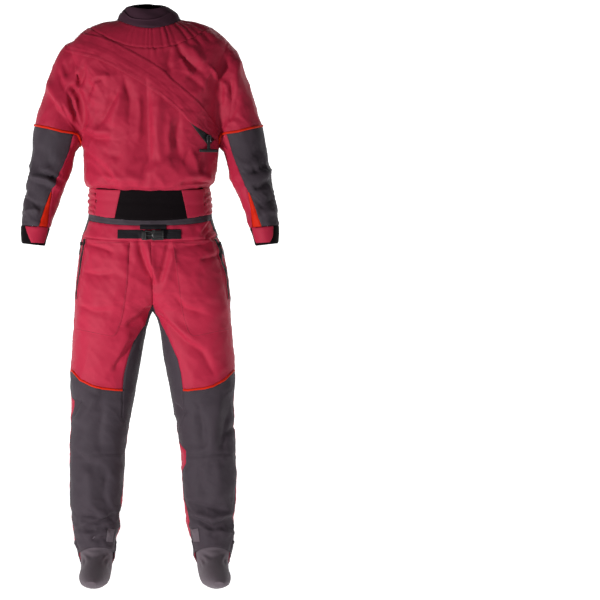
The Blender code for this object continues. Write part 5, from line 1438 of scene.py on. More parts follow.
def middle_row(angle):
    """The row at each angle where the leg leaves the middle of the suit."""
    return solve(lambda r: LEG(angle, r)[..., 0], np.full_like(angle, 4.0), np.full_like(angle, 9.0))


front_in, back_in = inner_edge(GUSSET_FRONT, False), inner_edge(GUSSET_BACK, True)
thigh_row, seat_row = seam_row(LEG, THIGH_SEAM, 8.0, 14.0), seam_row(LEG, SEAT_SEAM, 8.0, 13.0)
gusset_row = seam_row(LEG, ((0, GUSSET_FOOT), (0.3, GUSSET_FOOT)), 10.0, 16.0)
raw_front, raw_back = inner_edge(GUSSET_FRONT, False, -1.0), inner_edge(GUSSET_BACK, True, -1.0)


def mirrored(grid, hand):
    """A grid made for the wearer's left, or its mirror image for the right."""
    return grid * (hand, 1, 1)


def leg_middle(centre):
    """The middle line of the leg beside each face, or of the hips above the crotch."""
    inside = np.interp(-centre[:, 2], (0.66, 0.8, 1.03, 1.3, 1.5), (0.045, 0.117, 0.141, 0.158, 0.158))
    return np.stack((np.sign(centre[:, 0]) * inside, np.zeros(len(centre)), centre[:, 2]), -1)


def cross_seams(points, normals):
    """Seams across the leg below the knee, higher behind, and across the front of the shin above its hem."""
    x, z = points[:, 0], points[:, 2]
    behind = np.where(x > 0, -1.198, -1.162)
    knee = np.where(normals[:, 1] > 0, behind, -1.172) + 0.004 * np.sin(x * 40)
    hem = np.where(normals[:, 1] > 0, 9.0, -1.38 + 0.004 * np.cos((np.abs(x) - 0.16) * 30))
    return (0.0008 * bell(z - knee + 0.008, 0.004) - 0.0013 * bell(z - knee, 0.0026)
            + 0.0012 * bell(z - hem + 0.009, 0.006) - 0.0016 * bell(z - hem, 0.0024))


# %% Sew the trousers
binding_parts, band_parts, seat_parts, gusset_parts = [], [], [], []
for side, hand in SIDES.items():
    binding_parts.append(mirrored(patch(LEG, front_in, outer_edge, 0, 1, (-0.01, 1.01)), hand))
    band_parts.append(mirrored(patch(LEG, front_in, outer_edge, 1, WAISTBAND, (0.99, 2.01)), hand))
    seat_parts.append(mirrored(patch(LEG, back_in, outer_edge, 0, seat_row, (-0.01, 13)), hand))
    gusset_parts.append(mirrored(patch(LEG, raw_front, lambda rows: raw_back(rows) - 2 * np.pi, middle_row,
                                       gusset_row, (4.5, 16), 0.004), hand))
    front = mirrored(patch(LEG, front_in, outer_edge, WAISTBAND, thigh_row, (1.99, 14)), hand)
    out_edge = shifted_seam(outer_edge, hand, SEAM_OUT, -1)
    shin_in, calf_in = (shifted_seam(edge, hand, SEAM_IN, 1) for edge in (front_in, back_in))
    shin = mirrored(patch(LEG, shin_in, out_edge, thigh_row, HEM, (8, HEM + 0.01)), hand)
    calf = mirrored(patch(LEG, calf_in, out_edge, seat_row, HEM, (8, HEM + 0.01)), hand)
    sew(f"trouser_front_cloth_{side}", Cloth([front], leg_middle), RED, (f"trouser_front_{side}",))
    sew(f"shin_cloth_{side}", Cloth([shin], leg_middle), GREY, (f"shin_{side}",),
        extra=cross_seams)
    sew(f"calf_cloth_{side}", Cloth([calf], leg_middle), RED, (f"calf_{side}",),
        extra=cross_seams, inside=GREY)


def centre_seam(points, normals):
    """The seam down the middle of the seat."""
    x = np.abs(points[:, 0])
    return RIDGE * bell(x - RIDGE_AWAY, RIDGE_WIDTH) - SEAM_PINCH * bell(x, SEAM_WIDTH)


def gusset_middle(centre):
    """A point inside the thigh, below each face near the crotch."""
    x, y, z = centre.T
    return np.stack((np.sign(x) * 0.125, 0 * y, z * 0.7 - 0.27), -1)


sew("waist_binding_cloth", Cloth(binding_parts, leg_middle, "tb"), GREY, ("waist_binding",), lift=-0.0008)
sew("waistband_cloth", Cloth(band_parts, leg_middle, "tb"), RED, ("waistband",))
sew("seat_cloth", Cloth(seat_parts, leg_middle, "tbr"), GREY, ("seat",), extra=centre_seam)
sew("gusset_cloth", Cloth(gusset_parts, gusset_middle, "blr"), GREY, ("crotch_gusset",), rumple=0.0018)

# %% [markdown]
# ## Socks
# The feet are sealed socks of the same laminate. Each is a tube of rings from the hem to the toes,
# closed at the tip.

# %% Sew the socks
SOCK_CENTRE, TOES_OUT = 0.1585, 0.0145


def sock_of(hand):
    """A sock's grid: two rings inside the trouser leg, the rings of its table, and three that close its
    tip."""
    angles = np.linspace(0, 2 * np.pi, 73)
    rings = []
    for row, inset in ((HEM - 1, 0.0045), (HEM - 0.65, 0.006)):
        ring = LEG(angles, np.full(73, float(row)))
        middle = ring[:-1].mean(0)
        rings.append(ring - inset * unit((ring - middle) * (1, 1, 0)))
    for top_y, top_z, sole_y, sole_z, half in SOCK:
        c, s = np.cos(angles), np.sin(angles)
        y = (top_y + sole_y) / 2 + (top_y - sole_y) / 2 * c
        z = (top_z + sole_z) / 2 + (top_z - sole_z) / 2 * c
        x = SOCK_CENTRE + TOES_OUT * np.clip(-y / 0.18, 0, 1) + half * s
        rings.append(np.stack((x, y, z), -1))
    tip = rings[-1][:-1].mean(0)
    ahead = unit(tip - rings[-2][:-1].mean(0))
    for shrink, out in ((0.82, 0.0045), (0.45, 0.007), (0.01, 0.0078)):
        rings.append(tip + (rings[8] - tip) * shrink + ahead * out)
    rings = np.stack(rings).reshape(len(rings), -1)
    rows = np.concatenate((np.linspace(0, 7, 50, endpoint=False), np.linspace(7, 11, 16)))
    grid = between_rings(rings, rows).reshape(len(rows), 73, 3)
    grid[:, -1] = grid[:, 0]
    return mirrored(grid, hand)


def sock_middle(centre):
    """A point inside the foot beside each face."""
    middle = centre.copy()
    middle[:, 0] = np.sign(centre[:, 0]) * 0.165
    middle[:, 2] = np.interp(-centre[:, 1], (-0.04, 0.05, 0.17), (-1.47, -1.5, -1.527))
    middle[:, 1] = np.clip(centre[:, 1], -0.165, 0.02)
    return middle


def sock_seams(points, normals):
    """Flat seams round the sole and across the instep, and soft creases at the ankle."""
    y, z = points[:, 1], points[:, 2]
    sole = bell(z - np.interp(-y, (-0.05, 0.02, 0.17), (-1.5, -1.528, -1.532)),
                0.0016) * (normals[:, 2] > -0.8)
    bend = bell(y + 0.052, 0.02) * bell(z + 1.462, 0.02)
    return 0.0007 * sole - 0.003 * bend * np.sin((z - 0.4 * y) * 420)


for side, hand in SIDES.items():
    sew(f"sock_cloth_{side}", Cloth([sock_of(hand)], sock_middle, "t"), SOCKS, (f"sock_{side}",),
        extra=sock_seams, rumple=0.0012, amount=0.0, lift=0.0002)

# %% [markdown]
# ## What lies on the cloth
# The rest of the trim is drawn in flat views and laid on the finished panels: the neck gasket and
# collar wrap, the chest zip under its flap, pockets, waist tabs, belt, seat zip and ankle straps.

# %% Neck gasket and collar wrap
def hung(points):
    """Flat front-view places moved as the suit hangs."""
    points = np.array(points, float)
    points[:, 0] += np.interp(points[:, 1], *SWAY.T)
    return points


def gasket_tube(angle, row):
    """The collar's own tube drawn in, its upper edge rolled a little inwards."""
    point = torso(angle, row)
    inwards = 0.0065 + 0.006 * np.clip((0.5 - row) / 0.5, 0, 1) ** 2
    point = point - inwards[..., None] * unit(point * (1, 1, 0))
    point[..., 2] += 0.0055 * np.clip(point[..., 1] / 0.04, 0, 1) - 0.0035
    return point


sew("neck_gasket_rubber", Cloth([ring_rows(gasket_tube, 0, NECK, 0.005, 0.005, 0.55)], neck_middle, "tb"),
    BLACK, ("neck_gasket",), thickness=0.0016, lift=0.0, amount=0.0, rumple=0.0, pinch=0.0)


def ridge(height, width, centre=0.0):
    """A profile for lay_on: a ridge along a strip, at a place across it from -1 to 1."""
    return lambda away, along_it, across: height * bell(across - centre, width)


def wrap_profile(away, along_it, across):
    """A roll along the upper edge, and a lower edge that is pressed down."""
    return 0.0016 * bell(across + 0.9, 0.24) - 0.0016 * (across > 0.97)


WRAP_EDGE = ((-0.09, 0.084), (-0.076, 0.076), (-0.066, 0.06), (-0.052, 0.049), (-0.03, 0.044), (0.0, 0.043),
             (0.03, 0.05), (0.056, 0.066))
COLLAR_FOOT = ((-0.086, 0.042), (-0.08, 0.037), (-0.06, 0.029), (-0.04, 0.0245), (-0.015, 0.0222),
               (0.01, 0.0222), (0.04, 0.0245), (0.072, 0.0335))
lay_on("collar_wrap_rubber", between_lines(WRAP_EDGE, COLLAR_FOOT, 0.0035), ("collar",), PLUM,
       ("collar_wrap",), lift=0.0, thickness=0.0022, profile=wrap_profile)


def raised_end(away, along_it, across):
    """Lifts the tab's end clear of the collar, but for its top."""
    return 0.0045 * np.clip((-0.86 - across) / 0.12, 0, 1) * np.clip((along_it - 0.3) / 0.3, 0, 1)


TAB_ROOT = ((-0.088, 0.08), (-0.088, 0.068), (-0.0885, 0.056), (-0.0885, 0.042))
TAB_END = ((-0.004, 0.087), (-0.001, 0.075), (0.004, 0.06), (-0.003, 0.041))
lay_on("collar_tab_rubber", between_lines(TAB_ROOT, TAB_END), ("collar",), BLACK, ("collar_tab",), turn=180,
       lift=0.0, thickness=0.002, profile=raised_end)

# %% [markdown]
# The chest zip runs from the right shoulder to the left ribs under a flap. The flap is a long strip
# of the same red cloth; its lower edge lifts near the end and lets the zip show.

# %% Chest zip and flap
FLAP_UPPER = ((-0.232, 0.02), (-0.182, 0.006), (-0.132, -0.006), (-0.056, -0.042), (0.025, -0.09),
              (0.06, -0.122), (0.106, -0.16), (0.141, -0.192), (0.176, -0.238), (0.192, -0.258))
FLAP_LOWER = ((-0.24, -0.044), (-0.179, -0.06), (-0.14, -0.071), (-0.056, -0.115), (0.014, -0.16),
              (0.084, -0.218), (0.112, -0.245), (0.138, -0.262), (0.168, -0.282), (0.186, -0.293))
ZIP_LINE = ((-0.225, -0.02), (-0.14, -0.046), (-0.056, -0.091), (0.014, -0.136), (0.084, -0.196),
            (0.108, -0.222), (0.134, -0.254), (0.155, -0.281), (0.171, -0.3))


def chain(name, flat, hosts, turn, pitch, size, finish):
    """Two rows of small teeth that meet along a curve, each a little block square to the surface."""
    curve = smooth_line(flat, 500)
    curve = resample(curve, np.linspace(0, 1, int(length_of(curve) / pitch)))
    place, normal, _ = lay(hosts, curve, turn)
    ahead = unit(np.gradient(place, axis=0))
    side = np.cross(normal, ahead)
    corners = np.array([(a, b, c) for a in (-1, 1) for b in (-1, 1) for c in (0, 1)])
    corners = corners * (size[0] / 2, size[1] / 2, size[2])
    sign = np.where(np.arange(len(place)) % 2, 1, -1)[:, None] * size[1] * 0.42
    points = (place + side * sign)[:, None] + ahead[:, None] * corners[None, :, :1] \
        + side[:, None] * corners[None, :, 1:2] + normal[:, None] * corners[None, :, 2:]
    quads = np.array(((0, 1, 3, 2), (4, 6, 7, 5), (0, 4, 5, 1), (2, 3, 7, 6), (0, 2, 6, 4), (1, 5, 7, 3)))
    faces = (np.arange(len(place))[:, None, None] * 8 + quads[None]).reshape(-1, 4)
    centres, points = points.mean(1)[faces[:, 0] // 8], points.reshape(-1, 3)
    add_mesh(name, points, facing_out(points, faces, centres), finish, smooth=False)
    print(f"{name}: {len(place)} teeth")


def flap_profile(away, along_it, across):
    """Rises towards its lower edge, lifts more near the end of the zip, and has a low ridge beside the
    stitches."""
    lifted = 0.002 * np.clip((along_it - 0.8) / 0.12, 0, 1) * np.clip(across, 0, 1)
    return 0.0008 * (across + 1) + lifted + 0.0007 * bell(away - 0.006, 0.003)


CHEST = ("blouse", "neck_tunnel_cloth")
lay_on("entry_zip_tape", strip(ZIP_LINE, 0.012, 0.004, 9), CHEST, TAPE, ("entry_zip",), lift=0.0001,
       thickness=0.0007, profile=ridge(0.0006, 0.3))
chain("entry_zip_teeth", ZIP_LINE, ("entry_zip_tape",), 0, 0.0022, (0.0016, 0.0032, 0.001), METAL)
lay_on("entry_flap_cloth", between_lines(FLAP_UPPER, FLAP_LOWER), (*CHEST, "entry_zip_tape"), RED,
       ("entry_flap",), lift=0.0006, thickness=0.0011, edge=0.0003, profile=flap_profile)

# %% Waist tabs, belt and pockets
WAIST = ("waist_front_rubber", "waist_side_cloth_left", "waist_side_cloth_right")
TAB_INNER = ((0.082, -0.433), (0.086, -0.452), (0.0905, -0.472), (0.0945, -0.491), (0.0985, -0.5105))
for side, hand in SIDES.items():
    wide = 0.003 * (1 + hand)
    inner = handed([(x + wide, z) for x, z in TAB_INNER], hand)
    outer = handed(((0.154, -0.43), (0.155, -0.45), (0.155, -0.47), (0.155, -0.488), (0.154, -0.506)), hand)
    lay_on(f"waist_tab_cloth_{side}", between_lines(inner, outer), WAIST, RED, (f"waist_tab_{side}",),
           lift=0.0004, thickness=0.0011, edge=0.0003)

BELT_LOW, BELT_HIGH = -0.569, -0.543
HIPS = ("waistband_cloth", "trouser_front_cloth_left", "trouser_front_cloth_right", "waist_binding_cloth")


def slab(left, right, foot, top, step=0.004):
    """A level rectangle of a flat view."""
    places = (left, (2 * left + right) / 3, (left + 2 * right) / 3, right)
    return between_lines([(x, top) for x in places], [(x, foot) for x in places], step)


def webbing_profile(away, along_it, across):
    """Low ribs that run along the webbing."""
    return 0.0003 * np.cos(across * 14) - 0.0002


lay_on("belt_left_webbing", slab(-0.09, -0.02, BELT_LOW + 0.001, BELT_HIGH - 0.001), HIPS, WEBBING, ("belt",),
       lift=0.0012, thickness=0.0016, profile=webbing_profile)
lay_on("belt_right_webbing", slab(0.03, 0.086, BELT_LOW, BELT_HIGH), HIPS, WEBBING, lift=0.0012,
       thickness=0.0016, profile=webbing_profile)
lay_on("belt_keeper_webbing", slab(0.0335, 0.045, BELT_LOW - 0.0015, BELT_HIGH + 0.0015, 0.002),
       ("belt_right_webbing",), WEBBING, lift=0.0003, thickness=0.0014)
lay_on("belt_hanger_webbing", slab(-0.028, 0.045, BELT_HIGH + 0.0008, -0.529, 0.003), HIPS, WEBBING,
       lift=0.001, thickness=0.0014, profile=webbing_profile)

POCKET_INNER = ((0.059, -0.58), (0.065, -0.633), (0.0705, -0.697), (0.082, -0.776), (0.092, -0.812),
                (0.1, -0.832), (0.114, -0.843))
POCKET_OUTER = ((0.172, -0.58), (0.188, -0.64), (0.198, -0.7), (0.211, -0.75), (0.2145, -0.785),
                (0.2165, -0.805), (0.2185, -0.822))


def pocket_profile(away, along_it, across):
    """A full middle, and a groove under the stitches near the edge."""
    return 0.002 * np.clip(away / 0.03, 0, 1) - 0.0006 * bell(away - 0.004, 0.0016)


for side, hand in SIDES.items():
    inner, outer = (hung(handed(edge, hand)) for edge in (POCKET_INNER, POCKET_OUTER))
    lay_on(f"pocket_cloth_{side}", between_lines(inner, outer, 0.0045), (f"trouser_front_cloth_{side}",), RED,
           (f"pocket_{side}",), lift=0.0005, edge=0.0004, profile=pocket_profile)

# %% Pocket zips and the seat zip
POCKET_ZIP = ((0.1845, -0.049, -0.569), (0.195, -0.05, -0.612), (0.203, -0.048, -0.655),
              (0.209, -0.043, -0.7), (0.213, -0.038, -0.736))
for side, hand in SIDES.items():
    turn = hand * 62
    sideways, _ = view_axes(turn)
    zip_places = np.array(POCKET_ZIP) * (hand, 1, 1)
    zip_places[:, 0] += np.interp(zip_places[:, 2], *SWAY.T)
    zip_line = np.stack((zip_places @ sideways, zip_places[:, 2]), -1)
    hosts = (f"trouser_front_cloth_{side}", "seat_cloth", "waistband_cloth", f"pocket_cloth_{side}")
    lay_on(f"pocket_zip_tape_{side}", strip(zip_line, 0.0085, 0.004, 9), hosts, ZIP_CLOTH,
           (f"pocket_zip_{side}",), turn=turn, lift=0.0002, thickness=0.0007, profile=ridge(0.0005, 0.35))
    chain(f"pocket_zip_coil_{side}", zip_line, (f"pocket_zip_tape_{side}",), turn, 0.0016,
          (0.0012, 0.0022, 0.0007), PLASTIC)
    for k, lip in enumerate((-1, 1)):
        beside = zip_line + (lip * 0.0108, 0)
        lay_on(f"pocket_lip_{k}_{side}", strip(beside, 0.0026, 0.004, 5), hosts, RED, turn=turn, lift=0.0004,
               thickness=0.0007, profile=lambda away, along_it, across: 0.0004 * (1 - across ** 2))


def seat_zip_profile(away, along_it, across):
    """A ridge over the teeth and one beside each edge of the tape."""
    return 0.0016 * bell(across, 0.16) + 0.0009 * bell(np.abs(across) - 0.62, 0.16)


SEAT_ZIP_LINE = ((-0.212, -0.856), (-0.196, -0.838), (-0.11, -0.753), (-0.006, -0.661), (0.056, -0.622),
                 (0.108, -0.587), (0.15, -0.53), (0.168, -0.484))
behind = hung(SEAT_ZIP_LINE) * (-1, 1)
SEAT = ("seat_cloth", "calf_cloth_right", "waist_back_rubber")
lay_on("seat_zip_tape", strip(behind, 0.021, 0.004, 15), SEAT, TAPE, ("seat_zip",), turn=180, lift=0.0003,
       thickness=0.001, profile=seat_zip_profile)
chain("seat_zip_teeth", behind, ("seat_zip_tape",), 180, 0.003, (0.0022, 0.0046, 0.0014), METAL)

# %% Ankle straps and cuff tabs
def band_foot(angle):
    """The strap's lower edge: a little above the hem behind (angle pi), on the hem at both sides."""
    return 19.8 + 0.17 * np.clip((angle - np.pi) / (np.pi / 2), -1, 1) ** 2


for side, hand in SIDES.items():
    band = mirrored(patch(LEG, fixed(np.pi / 2 - 0.24), fixed(1.5 * np.pi + 0.24), 19.08, band_foot,
                          (19.0, 20.0), 0.004), hand)
    sew(f"ankle_band_cloth_{side}", Cloth([band], leg_middle), GREY, (f"ankle_strap_{side}",), lift=0.0029)
    end = -sway(np.array([(hand * 0.1955, 0.03, -1.5)]))[0, 0]
    tab = slab(end - 0.009, end + 0.009, -1.484, -1.448)
    lay_on(f"ankle_tab_cloth_{side}", tab, (f"ankle_band_cloth_{side}", f"calf_cloth_{side}"), GREY, turn=180,
           lift=0.0004, thickness=0.0014)
    tip = hung(handed(((0.1265, -1.377), (0.1285, -1.389), (0.13, -1.402), (0.131, -1.4135)), hand))
    root = hung(handed(((0.1085, -1.38), (0.1105, -1.392), (0.1125, -1.404), (0.1145, -1.415)), hand))
    lay_on(f"ankle_tip_cloth_{side}", between_lines(root, tip, 0.003),
           (f"shin_cloth_{side}", f"calf_cloth_{side}"), SOCKS, lift=0.0006, thickness=0.0012)
    inner = ((0.285, -0.534), (0.2875, -0.549), (0.2915, -0.566), (0.297, -0.58))
    outer = ((0.349, -0.5275), (0.344, -0.545), (0.338, -0.562), (0.331, -0.579)) if hand < 0 else (
        (0.343, -0.5275), (0.343, -0.545), (0.3415, -0.562), (0.334, -0.578))
    lay_on(f"cuff_tab_cloth_{side}", between_lines(handed(inner, hand), handed(outer, hand)),
           (f"cuff_rubber_{side}",), RED, (f"cuff_tab_{side}",), lift=0.0006, thickness=0.0014, edge=0.0004)

# %% Pipings
def cord(name, path, normals, radius, nodes, closed=False, around=8):
    """A round orange cord along a path of points: rings of eight points square to the path."""
    ahead = unit(np.roll(path, -1, 0) - np.roll(path, 1, 0) if closed else np.gradient(path, axis=0))
    side = unit(np.cross(ahead, normals))
    up = np.cross(side, ahead)
    turn = np.linspace(0, 2 * np.pi, around, endpoint=False)
    c, s = np.cos(turn)[None, :, None], np.sin(turn)[None, :, None]
    points = path[:, None] + radius * (side[:, None] * c + up[:, None] * s)
    count = len(path)
    i = np.arange(count if closed else count - 1)[:, None]
    j, n, m = (i + 1) % count, np.arange(around)[None], (np.arange(around)[None] + 1) % around
    faces = np.stack((i * around + n, i * around + m, j * around + m, j * around + n), -1).reshape(-1, 4)
    points = points.reshape(-1, 3)
    add_mesh(name, points, facing_out(points, faces, path[faces[:, 0] // around]), ORANGE, nodes)


for side, hand in SIDES.items():
    angles = np.linspace(0, 2 * np.pi, 150, endpoint=False)
    ring = sleeve_ring(angles, piping_row(hand)(angles), hand)
    out = unit(ring - arm_middle(ring))
    rise = folds(ring, out) + 0.001
    cord(f"sleeve_cord_{side}", ring + out * rise[:, None], out, 0.0036, (f"sleeve_piping_{side}",),
         closed=True)
    run = hung(handed([(x, line(THIGH_SEAM, x)) for x in np.linspace(0.0865, 0.2262, 60)], hand))
    place, normal, _ = lay((f"trouser_front_cloth_{side}", f"shin_cloth_{side}"), run)
    cord(f"thigh_cord_{side}", place + normal * 0.0014, normal, 0.0033, (f"thigh_piping_{side}",))
print("cords sewn")

# %% [markdown]
# ## Hard parts
# Sliders, pulls and the buckle are moulded: each is built from rounded blocks, boxes whose edges and
# corners are parts of cylinders and spheres. The three pulls ride on their own bodies, so they
# swing with the hinges of the frame. Their directions come from those hinges and the CAD solids.

# %% Rounded blocks
def block(half, radius, steps=5):
    """A rounded box: points of a cube's faces, drawn in to a smaller box by the radius and pushed out again
    by the radius along the line from that smaller box."""
    t = np.linspace(-1, 1, steps + 1)
    t = np.sign(t) * np.abs(t) ** 0.8
    u, v = (g.ravel() for g in np.meshgrid(t, t, indexing="ij"))
    points, faces, start = [], [], 0
    quads = grid_quads(steps + 1, steps + 1)
    for axis in range(3):
        for sign in (-1, 1):
            side = np.zeros((len(u), 3))
            side[:, axis], side[:, (axis + 1) % 3], side[:, (axis + 2) % 3] = sign, u, v
            points.append(side)
            faces.append((quads if sign > 0 else quads[:, ::-1]) + start)
            start += len(u)
    points, faces = np.concatenate(points), np.concatenate(faces)
    _, first, back = np.unique(np.round(points, 6), axis=0, return_index=True, return_inverse=True)
    points, faces = points[first] * half, back.reshape(-1)[faces]
    radius = min(radius, min(half) * 0.999)
    core = np.clip(points, -np.subtract(half, radius), np.subtract(half, radius))
    return core + radius * unit(points - core), faces


def assemble(name, blocks, origin, axes, finish, nodes, body):
    """One piece from blocks of (half sizes, centre, radius), and sometimes a turn about the outward axis, in
    degrees."""
    points, faces, start = [], [], 0
    for half, centre, radius, *turn in blocks:
        spots, quads = block(half, radius)
        a = math.radians(sum(turn))
        spots = spots @ np.array(((math.cos(a), math.sin(a), 0), (-math.sin(a), math.cos(a), 0),
                                  (0, 0, 1))) + centre
        points.append(spots)
        faces.append(quads + start)
        start += len(spots)
    axes = np.array(axes)
    points, faces = np.concatenate(points) @ axes + origin, np.concatenate(faces)
    if np.linalg.det(axes) < 0:
        faces = faces[:, ::-1]
    add_mesh(name, points, faces, finish, nodes, body)
    print(f"{name}: {len(blocks)} blocks, {len(faces)} faces")


def corners_of(node):
    """The corners of a CAD solid."""
    return np.array([v.co[:] for v in frame["nodes"][node].data.vertices])


# %% Zip sliders and pulls
def pull_axes(node, joint):
    """The pull's directions: sideways along the hinge, up from its far end to the hinge, and outwards."""
    pivot, sideways = np.array(joint["pos_m"], float), np.array(joint["axis"], float)
    up = pivot - corners_of(node).mean(0)
    up = unit(up - sideways * (up @ sideways))
    outwards = np.cross(sideways, up)
    if outwards[1] > 0:
        sideways, outwards = -sideways, -outwards
    return pivot, np.array((sideways, up, outwards))


joints = {joint["child"]: joint for joint in frame["joints"]}
pivot, axes = pull_axes("entry_pull", joints["entry_pull"])
LEAF, PULL_PLAY = 0.0014, 0.0005  # thickness of the slider's cheeks, and the play between them and the pull
half = 0.014 / 2 - LEAF - PULL_PLAY
bar = [
    ((half, 0.0178, 0.0011), (0, -0.0172, 0), 0.001),  # stem
    ((half * 0.8, 0.0016, 0.0016), (0, -0.001, 0), 0.0014),
    ((0.033, 0.0045, 0.0017), (0, -0.0385, 0), 0.0016),  # crossbar for the fingers
    ((half + 0.0008, 0.0025, 0.0018), (0, -0.0335, 0), 0.0012),
]
# grip ribs
bar += [((0.0009, 0.004, 0.0021), (x, -0.0385, 0), 0.0006) for x in np.linspace(-0.028, 0.028, 15)]
assemble("entry_pull_grip", bar, pivot, axes, PLASTIC, ("entry_pull",), "entry_pull")
top = pivot + axes[1] * 0.003 - axes[2] * 0.0041
slider = [
    ((0.007, 0.009, 0.001), (0, -0.009, 0.0012), 0.0009),
    ((0.0008, 0.0098, 0.0026), (-0.0062, -0.0082, 0.0034), 0.0006),  # cheeks
    ((0.0008, 0.0098, 0.0026), (0.0062, -0.0082, 0.0034), 0.0006),
    ((0.007, 0.0009, 0.0008), (0, 0.0007, 0.0062), 0.0006),  # bridge
]
assemble("entry_slider_body", slider, top, axes, METAL, ("entry_slider",), "suit")

for side in SIDES:
    pivot, axes = pull_axes(f"pocket_{side}_pull", joints[f"pocket_{side}_pull"])
    tab = [
        ((0.0019, 0.0022, 0.0007), (0, -0.002, 0), 0.0005),
        ((0.0012, 0.006, 0.001), (0, -0.0095, 0), 0.0009),
        ((0.0024, 0.0095, 0.0012), (0, -0.024, 0), 0.001),
    ]
    tab += [((0.0025, 0.0006, 0.0013), (0, y, 0), 0.0005) for y in np.linspace(-0.031, -0.018, 7)]
    assemble(f"pocket_{side}_tag", tab, pivot, axes, PLASTIC, (f"pocket_{side}_pull",), f"pocket_{side}_pull")
    top = pivot + axes[1] * 0.003 - axes[2] * 0.0029
    slider = [((0.0039, 0.005, 0.0008), (0, -0.005, 0.0009), 0.0007)]
    slider += [((0.0006, 0.005, 0.0018), (x, -0.005, 0.0024), 0.0004) for x in (-0.0033, 0.0033)]
    assemble(f"pocket_{side}_slider_body", slider, top, axes, METAL, (f"pocket_{side}_slider",), "suit")

# %% Belt buckle
low, high = (np.array(corner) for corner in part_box("buckle"))
middle = (low + high) / 2
flat_axes = ((1, 0, 0), (0, 0, 1), (0, -1, 0))
origin = (middle[0], low[1] + 0.0105, middle[2])
buckle = [
    ((0.017, 0.0138, 0.004), (0.013, 0, 0.0055), 0.0024),  # socket
    ((0.015, 0.004, 0.0014), (0.012, 0, 0.0096), 0.001),  # its raised middle
    ((0.0016, 0.014, 0.0046), (0.0285, 0, 0.0054), 0.0014),  # bar for the webbing
    ((0.0016, 0.014, 0.0046), (-0.002, 0, 0.0056), 0.0014),  # mouth of the socket
    ((0.0054, 0.0132, 0.0038), (-0.0245, 0, 0.0052), 0.0022),  # plug
    ((0.0014, 0.0136, 0.0044), (-0.0296, 0, 0.0052), 0.0012),
    ((0.0014, 0.011, 0.0044), (-0.02, 0, 0.0052), 0.0012),
    ((0.012, 0.0019, 0.003), (-0.01, 0, 0.0052), 0.0014),  # guide
    ((0.011, 0.0088, 0.0008), (-0.011, 0, 0.0026), 0.0006),  # floor between the arms
    ((0.012, 0.0022, 0.0034), (-0.0105, 0.0104, 0.0052), 0.0016, -9),  # springing arms
    ((0.012, 0.0022, 0.0034), (-0.0105, -0.0104, 0.0052), 0.0016, 9),
]
buckle += [((0.0008, 0.0032, 0.0012), (x, s * 0.0118, 0.0094), 0.0006) for x in (0.0005, 0.003, 0.0055)
           for s in (-1, 1)]
assemble("belt_buckle", buckle, origin, flat_axes, PLASTIC, ("buckle",), "suit")

# %% [markdown]
# ## Stitches
# Rows of thread run beside the seams and along the edges of all that is sewn on. Each stitch is a
# small spindle on the cloth. They are gathered into two meshes, in red and in dark thread.

# %% Sew the stitches
def inset(line_points, by):
    """A curve of a flat view moved sideways."""
    curve = smooth_line(line_points, 300)
    return curve + squares(curve) * by


for edge, by in ((FLAP_UPPER, -0.0035), (FLAP_UPPER, -0.0095), (FLAP_LOWER, 0.003), (FLAP_LOWER, 0.0085)):
    stitch(inset(edge, by)[20:], ("entry_flap_cloth",))
stitch(((-0.156, -0.0225), (-0.12, -0.033), (-0.08, -0.0385), (-0.03, -0.0412), (0.03, -0.0412),
        (0.08, -0.0385), (0.12, -0.033), (0.156, -0.0225)), CHEST)
for z in (-0.1965, -0.1845):
    stitch(((-0.2, z), (0.0, z - 0.0005), (0.2, z)), ("blouse",), 180)
for side, hand in SIDES.items():
    stitch(handed(((0.076, -0.004), (0.129, -0.026), (0.172, -0.068), (0.186, -0.126)), hand), ("blouse",),
           180)
    stitch(handed(((0.1, -0.4175), (0.14, -0.415), (0.165, -0.411)), hand), ("blouse",))
    wide = 0.003 * (1 + hand)
    tab = ((0.087 + wide, -0.4375), (0.0893 + wide, -0.452), (0.0938 + wide, -0.472), (0.0975 + wide, -0.49),
           (0.1015 + wide, -0.505), (0.123, -0.506), (0.15, -0.502))
    stitch(handed(tab, hand), (f"waist_tab_cloth_{side}",))
    stitch(handed(((0.288, -0.535), (0.31, -0.5325), (0.33, -0.531), (0.345, -0.53)), hand),
           (f"cuff_tab_cloth_{side}",))
for z in (-0.5745, -0.5835):
    stitch([(x, z - 0.006 * math.cos(x * 8.0)) for x in np.linspace(-0.165, 0.175, 12)], HIPS)
sew_stitches("red_stitches", RED_THREAD)


def stitch_trousers(side, places, host, turn=0, **more):
    """Stitches on one side of the trousers, along places drawn for the wearer's left before the suit
    hangs."""
    run = hung(handed(places, SIDES[side]))
    stitch(run * (-1, 1) if turn == 180 else run, host, turn, **more)


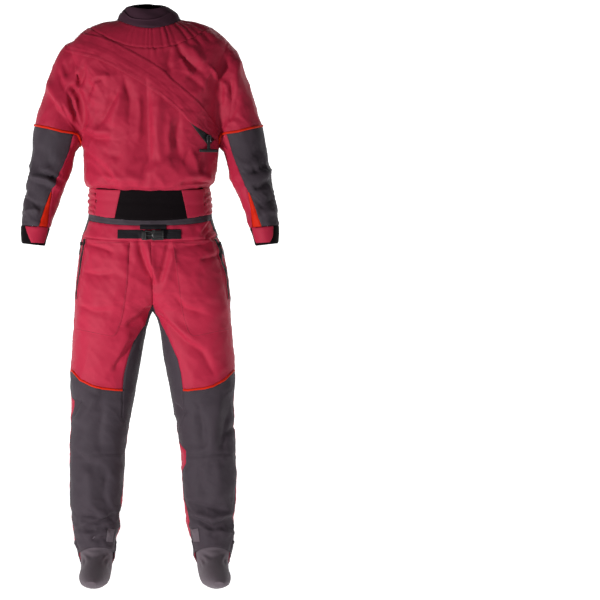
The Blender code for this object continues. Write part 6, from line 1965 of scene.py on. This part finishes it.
for side, hand in SIDES.items():
    shin, pocket = (f"shin_cloth_{side}",), (f"pocket_cloth_{side}",)
    thigh = (f"trouser_front_cloth_{side}", *shin, "gusset_cloth")
    for down in (0.0075, 0.013):
        stitch_trousers(side, [(x, line(THIGH_SEAM, x) - down) for x in np.linspace(0.09, 0.218, 9)], thigh)
    stitch(inset(hung(handed(POCKET_INNER, hand)), 0.003 * hand)[6:], pocket, lift=0.0005)
    stitch_trousers(side, ((0.116, -0.8395), (0.15, -0.833), (0.185, -0.8255), (0.214, -0.82)), pocket,
                    lift=0.0005)
    knee = (-1.1735, -1.169) if hand < 0 else (-1.17, -1.172)
    stitch_trousers(side, list(zip(np.linspace(0.088, 0.224, 5), np.linspace(*knee, 5))), shin)
    stitch_trousers(side, [(x, -1.38 + 0.004 * math.cos((x - 0.16) * 30))
                           for x in np.linspace(0.106, 0.212, 6)], shin)
    stitch_trousers(side, [(x, line(SEAT_SEAM, x) + 0.0055) for x in np.linspace(0.055, 0.205, 9)],
                    ("seat_cloth",), 180)
    for row in (19.13, 19.75):
        run = sway(mirrored(LEG(np.linspace(np.pi / 2 + 0.35, 1.5 * np.pi - 0.35, 40), np.full(40, row)),
                            hand))
        stitch(np.column_stack((-run[:, 0], run[:, 2])), (f"ankle_band_cloth_{side}",), 180)
for shift in (-0.004, 0.004):
    stitch(hung([(shift, z) for z in np.linspace(-0.52, -0.735, 9)]) * (-1, 1), ("seat_cloth",), 180)
for by in (-0.0192, 0.0192, -0.016, 0.016):
    stitch(inset(behind, by)[12:-12], ("seat_zip_tape",), 180)
stitch([(x, -0.508 - 0.01 * math.cos(x * 8.5)) for x in np.linspace(-0.08, 0.08, 9)], ("waist_front_rubber",))
sew_stitches("dark_stitches", DARK_THREAD)

# %% Finish
SLOT_FINISH = {"red_cloth": RED, "grey_cloth": GREY, "orange_cloth": ORANGE, "plum_neoprene": PLUM,
               "black_neoprene": BLACK, "black_webbing": WEBBING, "black_zip": TAPE, "black_plastic": PLASTIC,
               "grey_sock": SOCKS}
for name, node in frame["nodes"].items():
    slots = [material.name.split(".")[0] for material in node.data.materials if material]
    finish = next((SLOT_FINISH[slot] for slot in slots if slot in SLOT_FINISH), PLASTIC)
    node.data.materials.clear()
    node.data.materials.append(finish)

new_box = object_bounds()
for name, box in (("CAD", cad_box), ("visual", new_box)):
    print(name, "box:", [[round(value, 4) for value in corner] for corner in box])
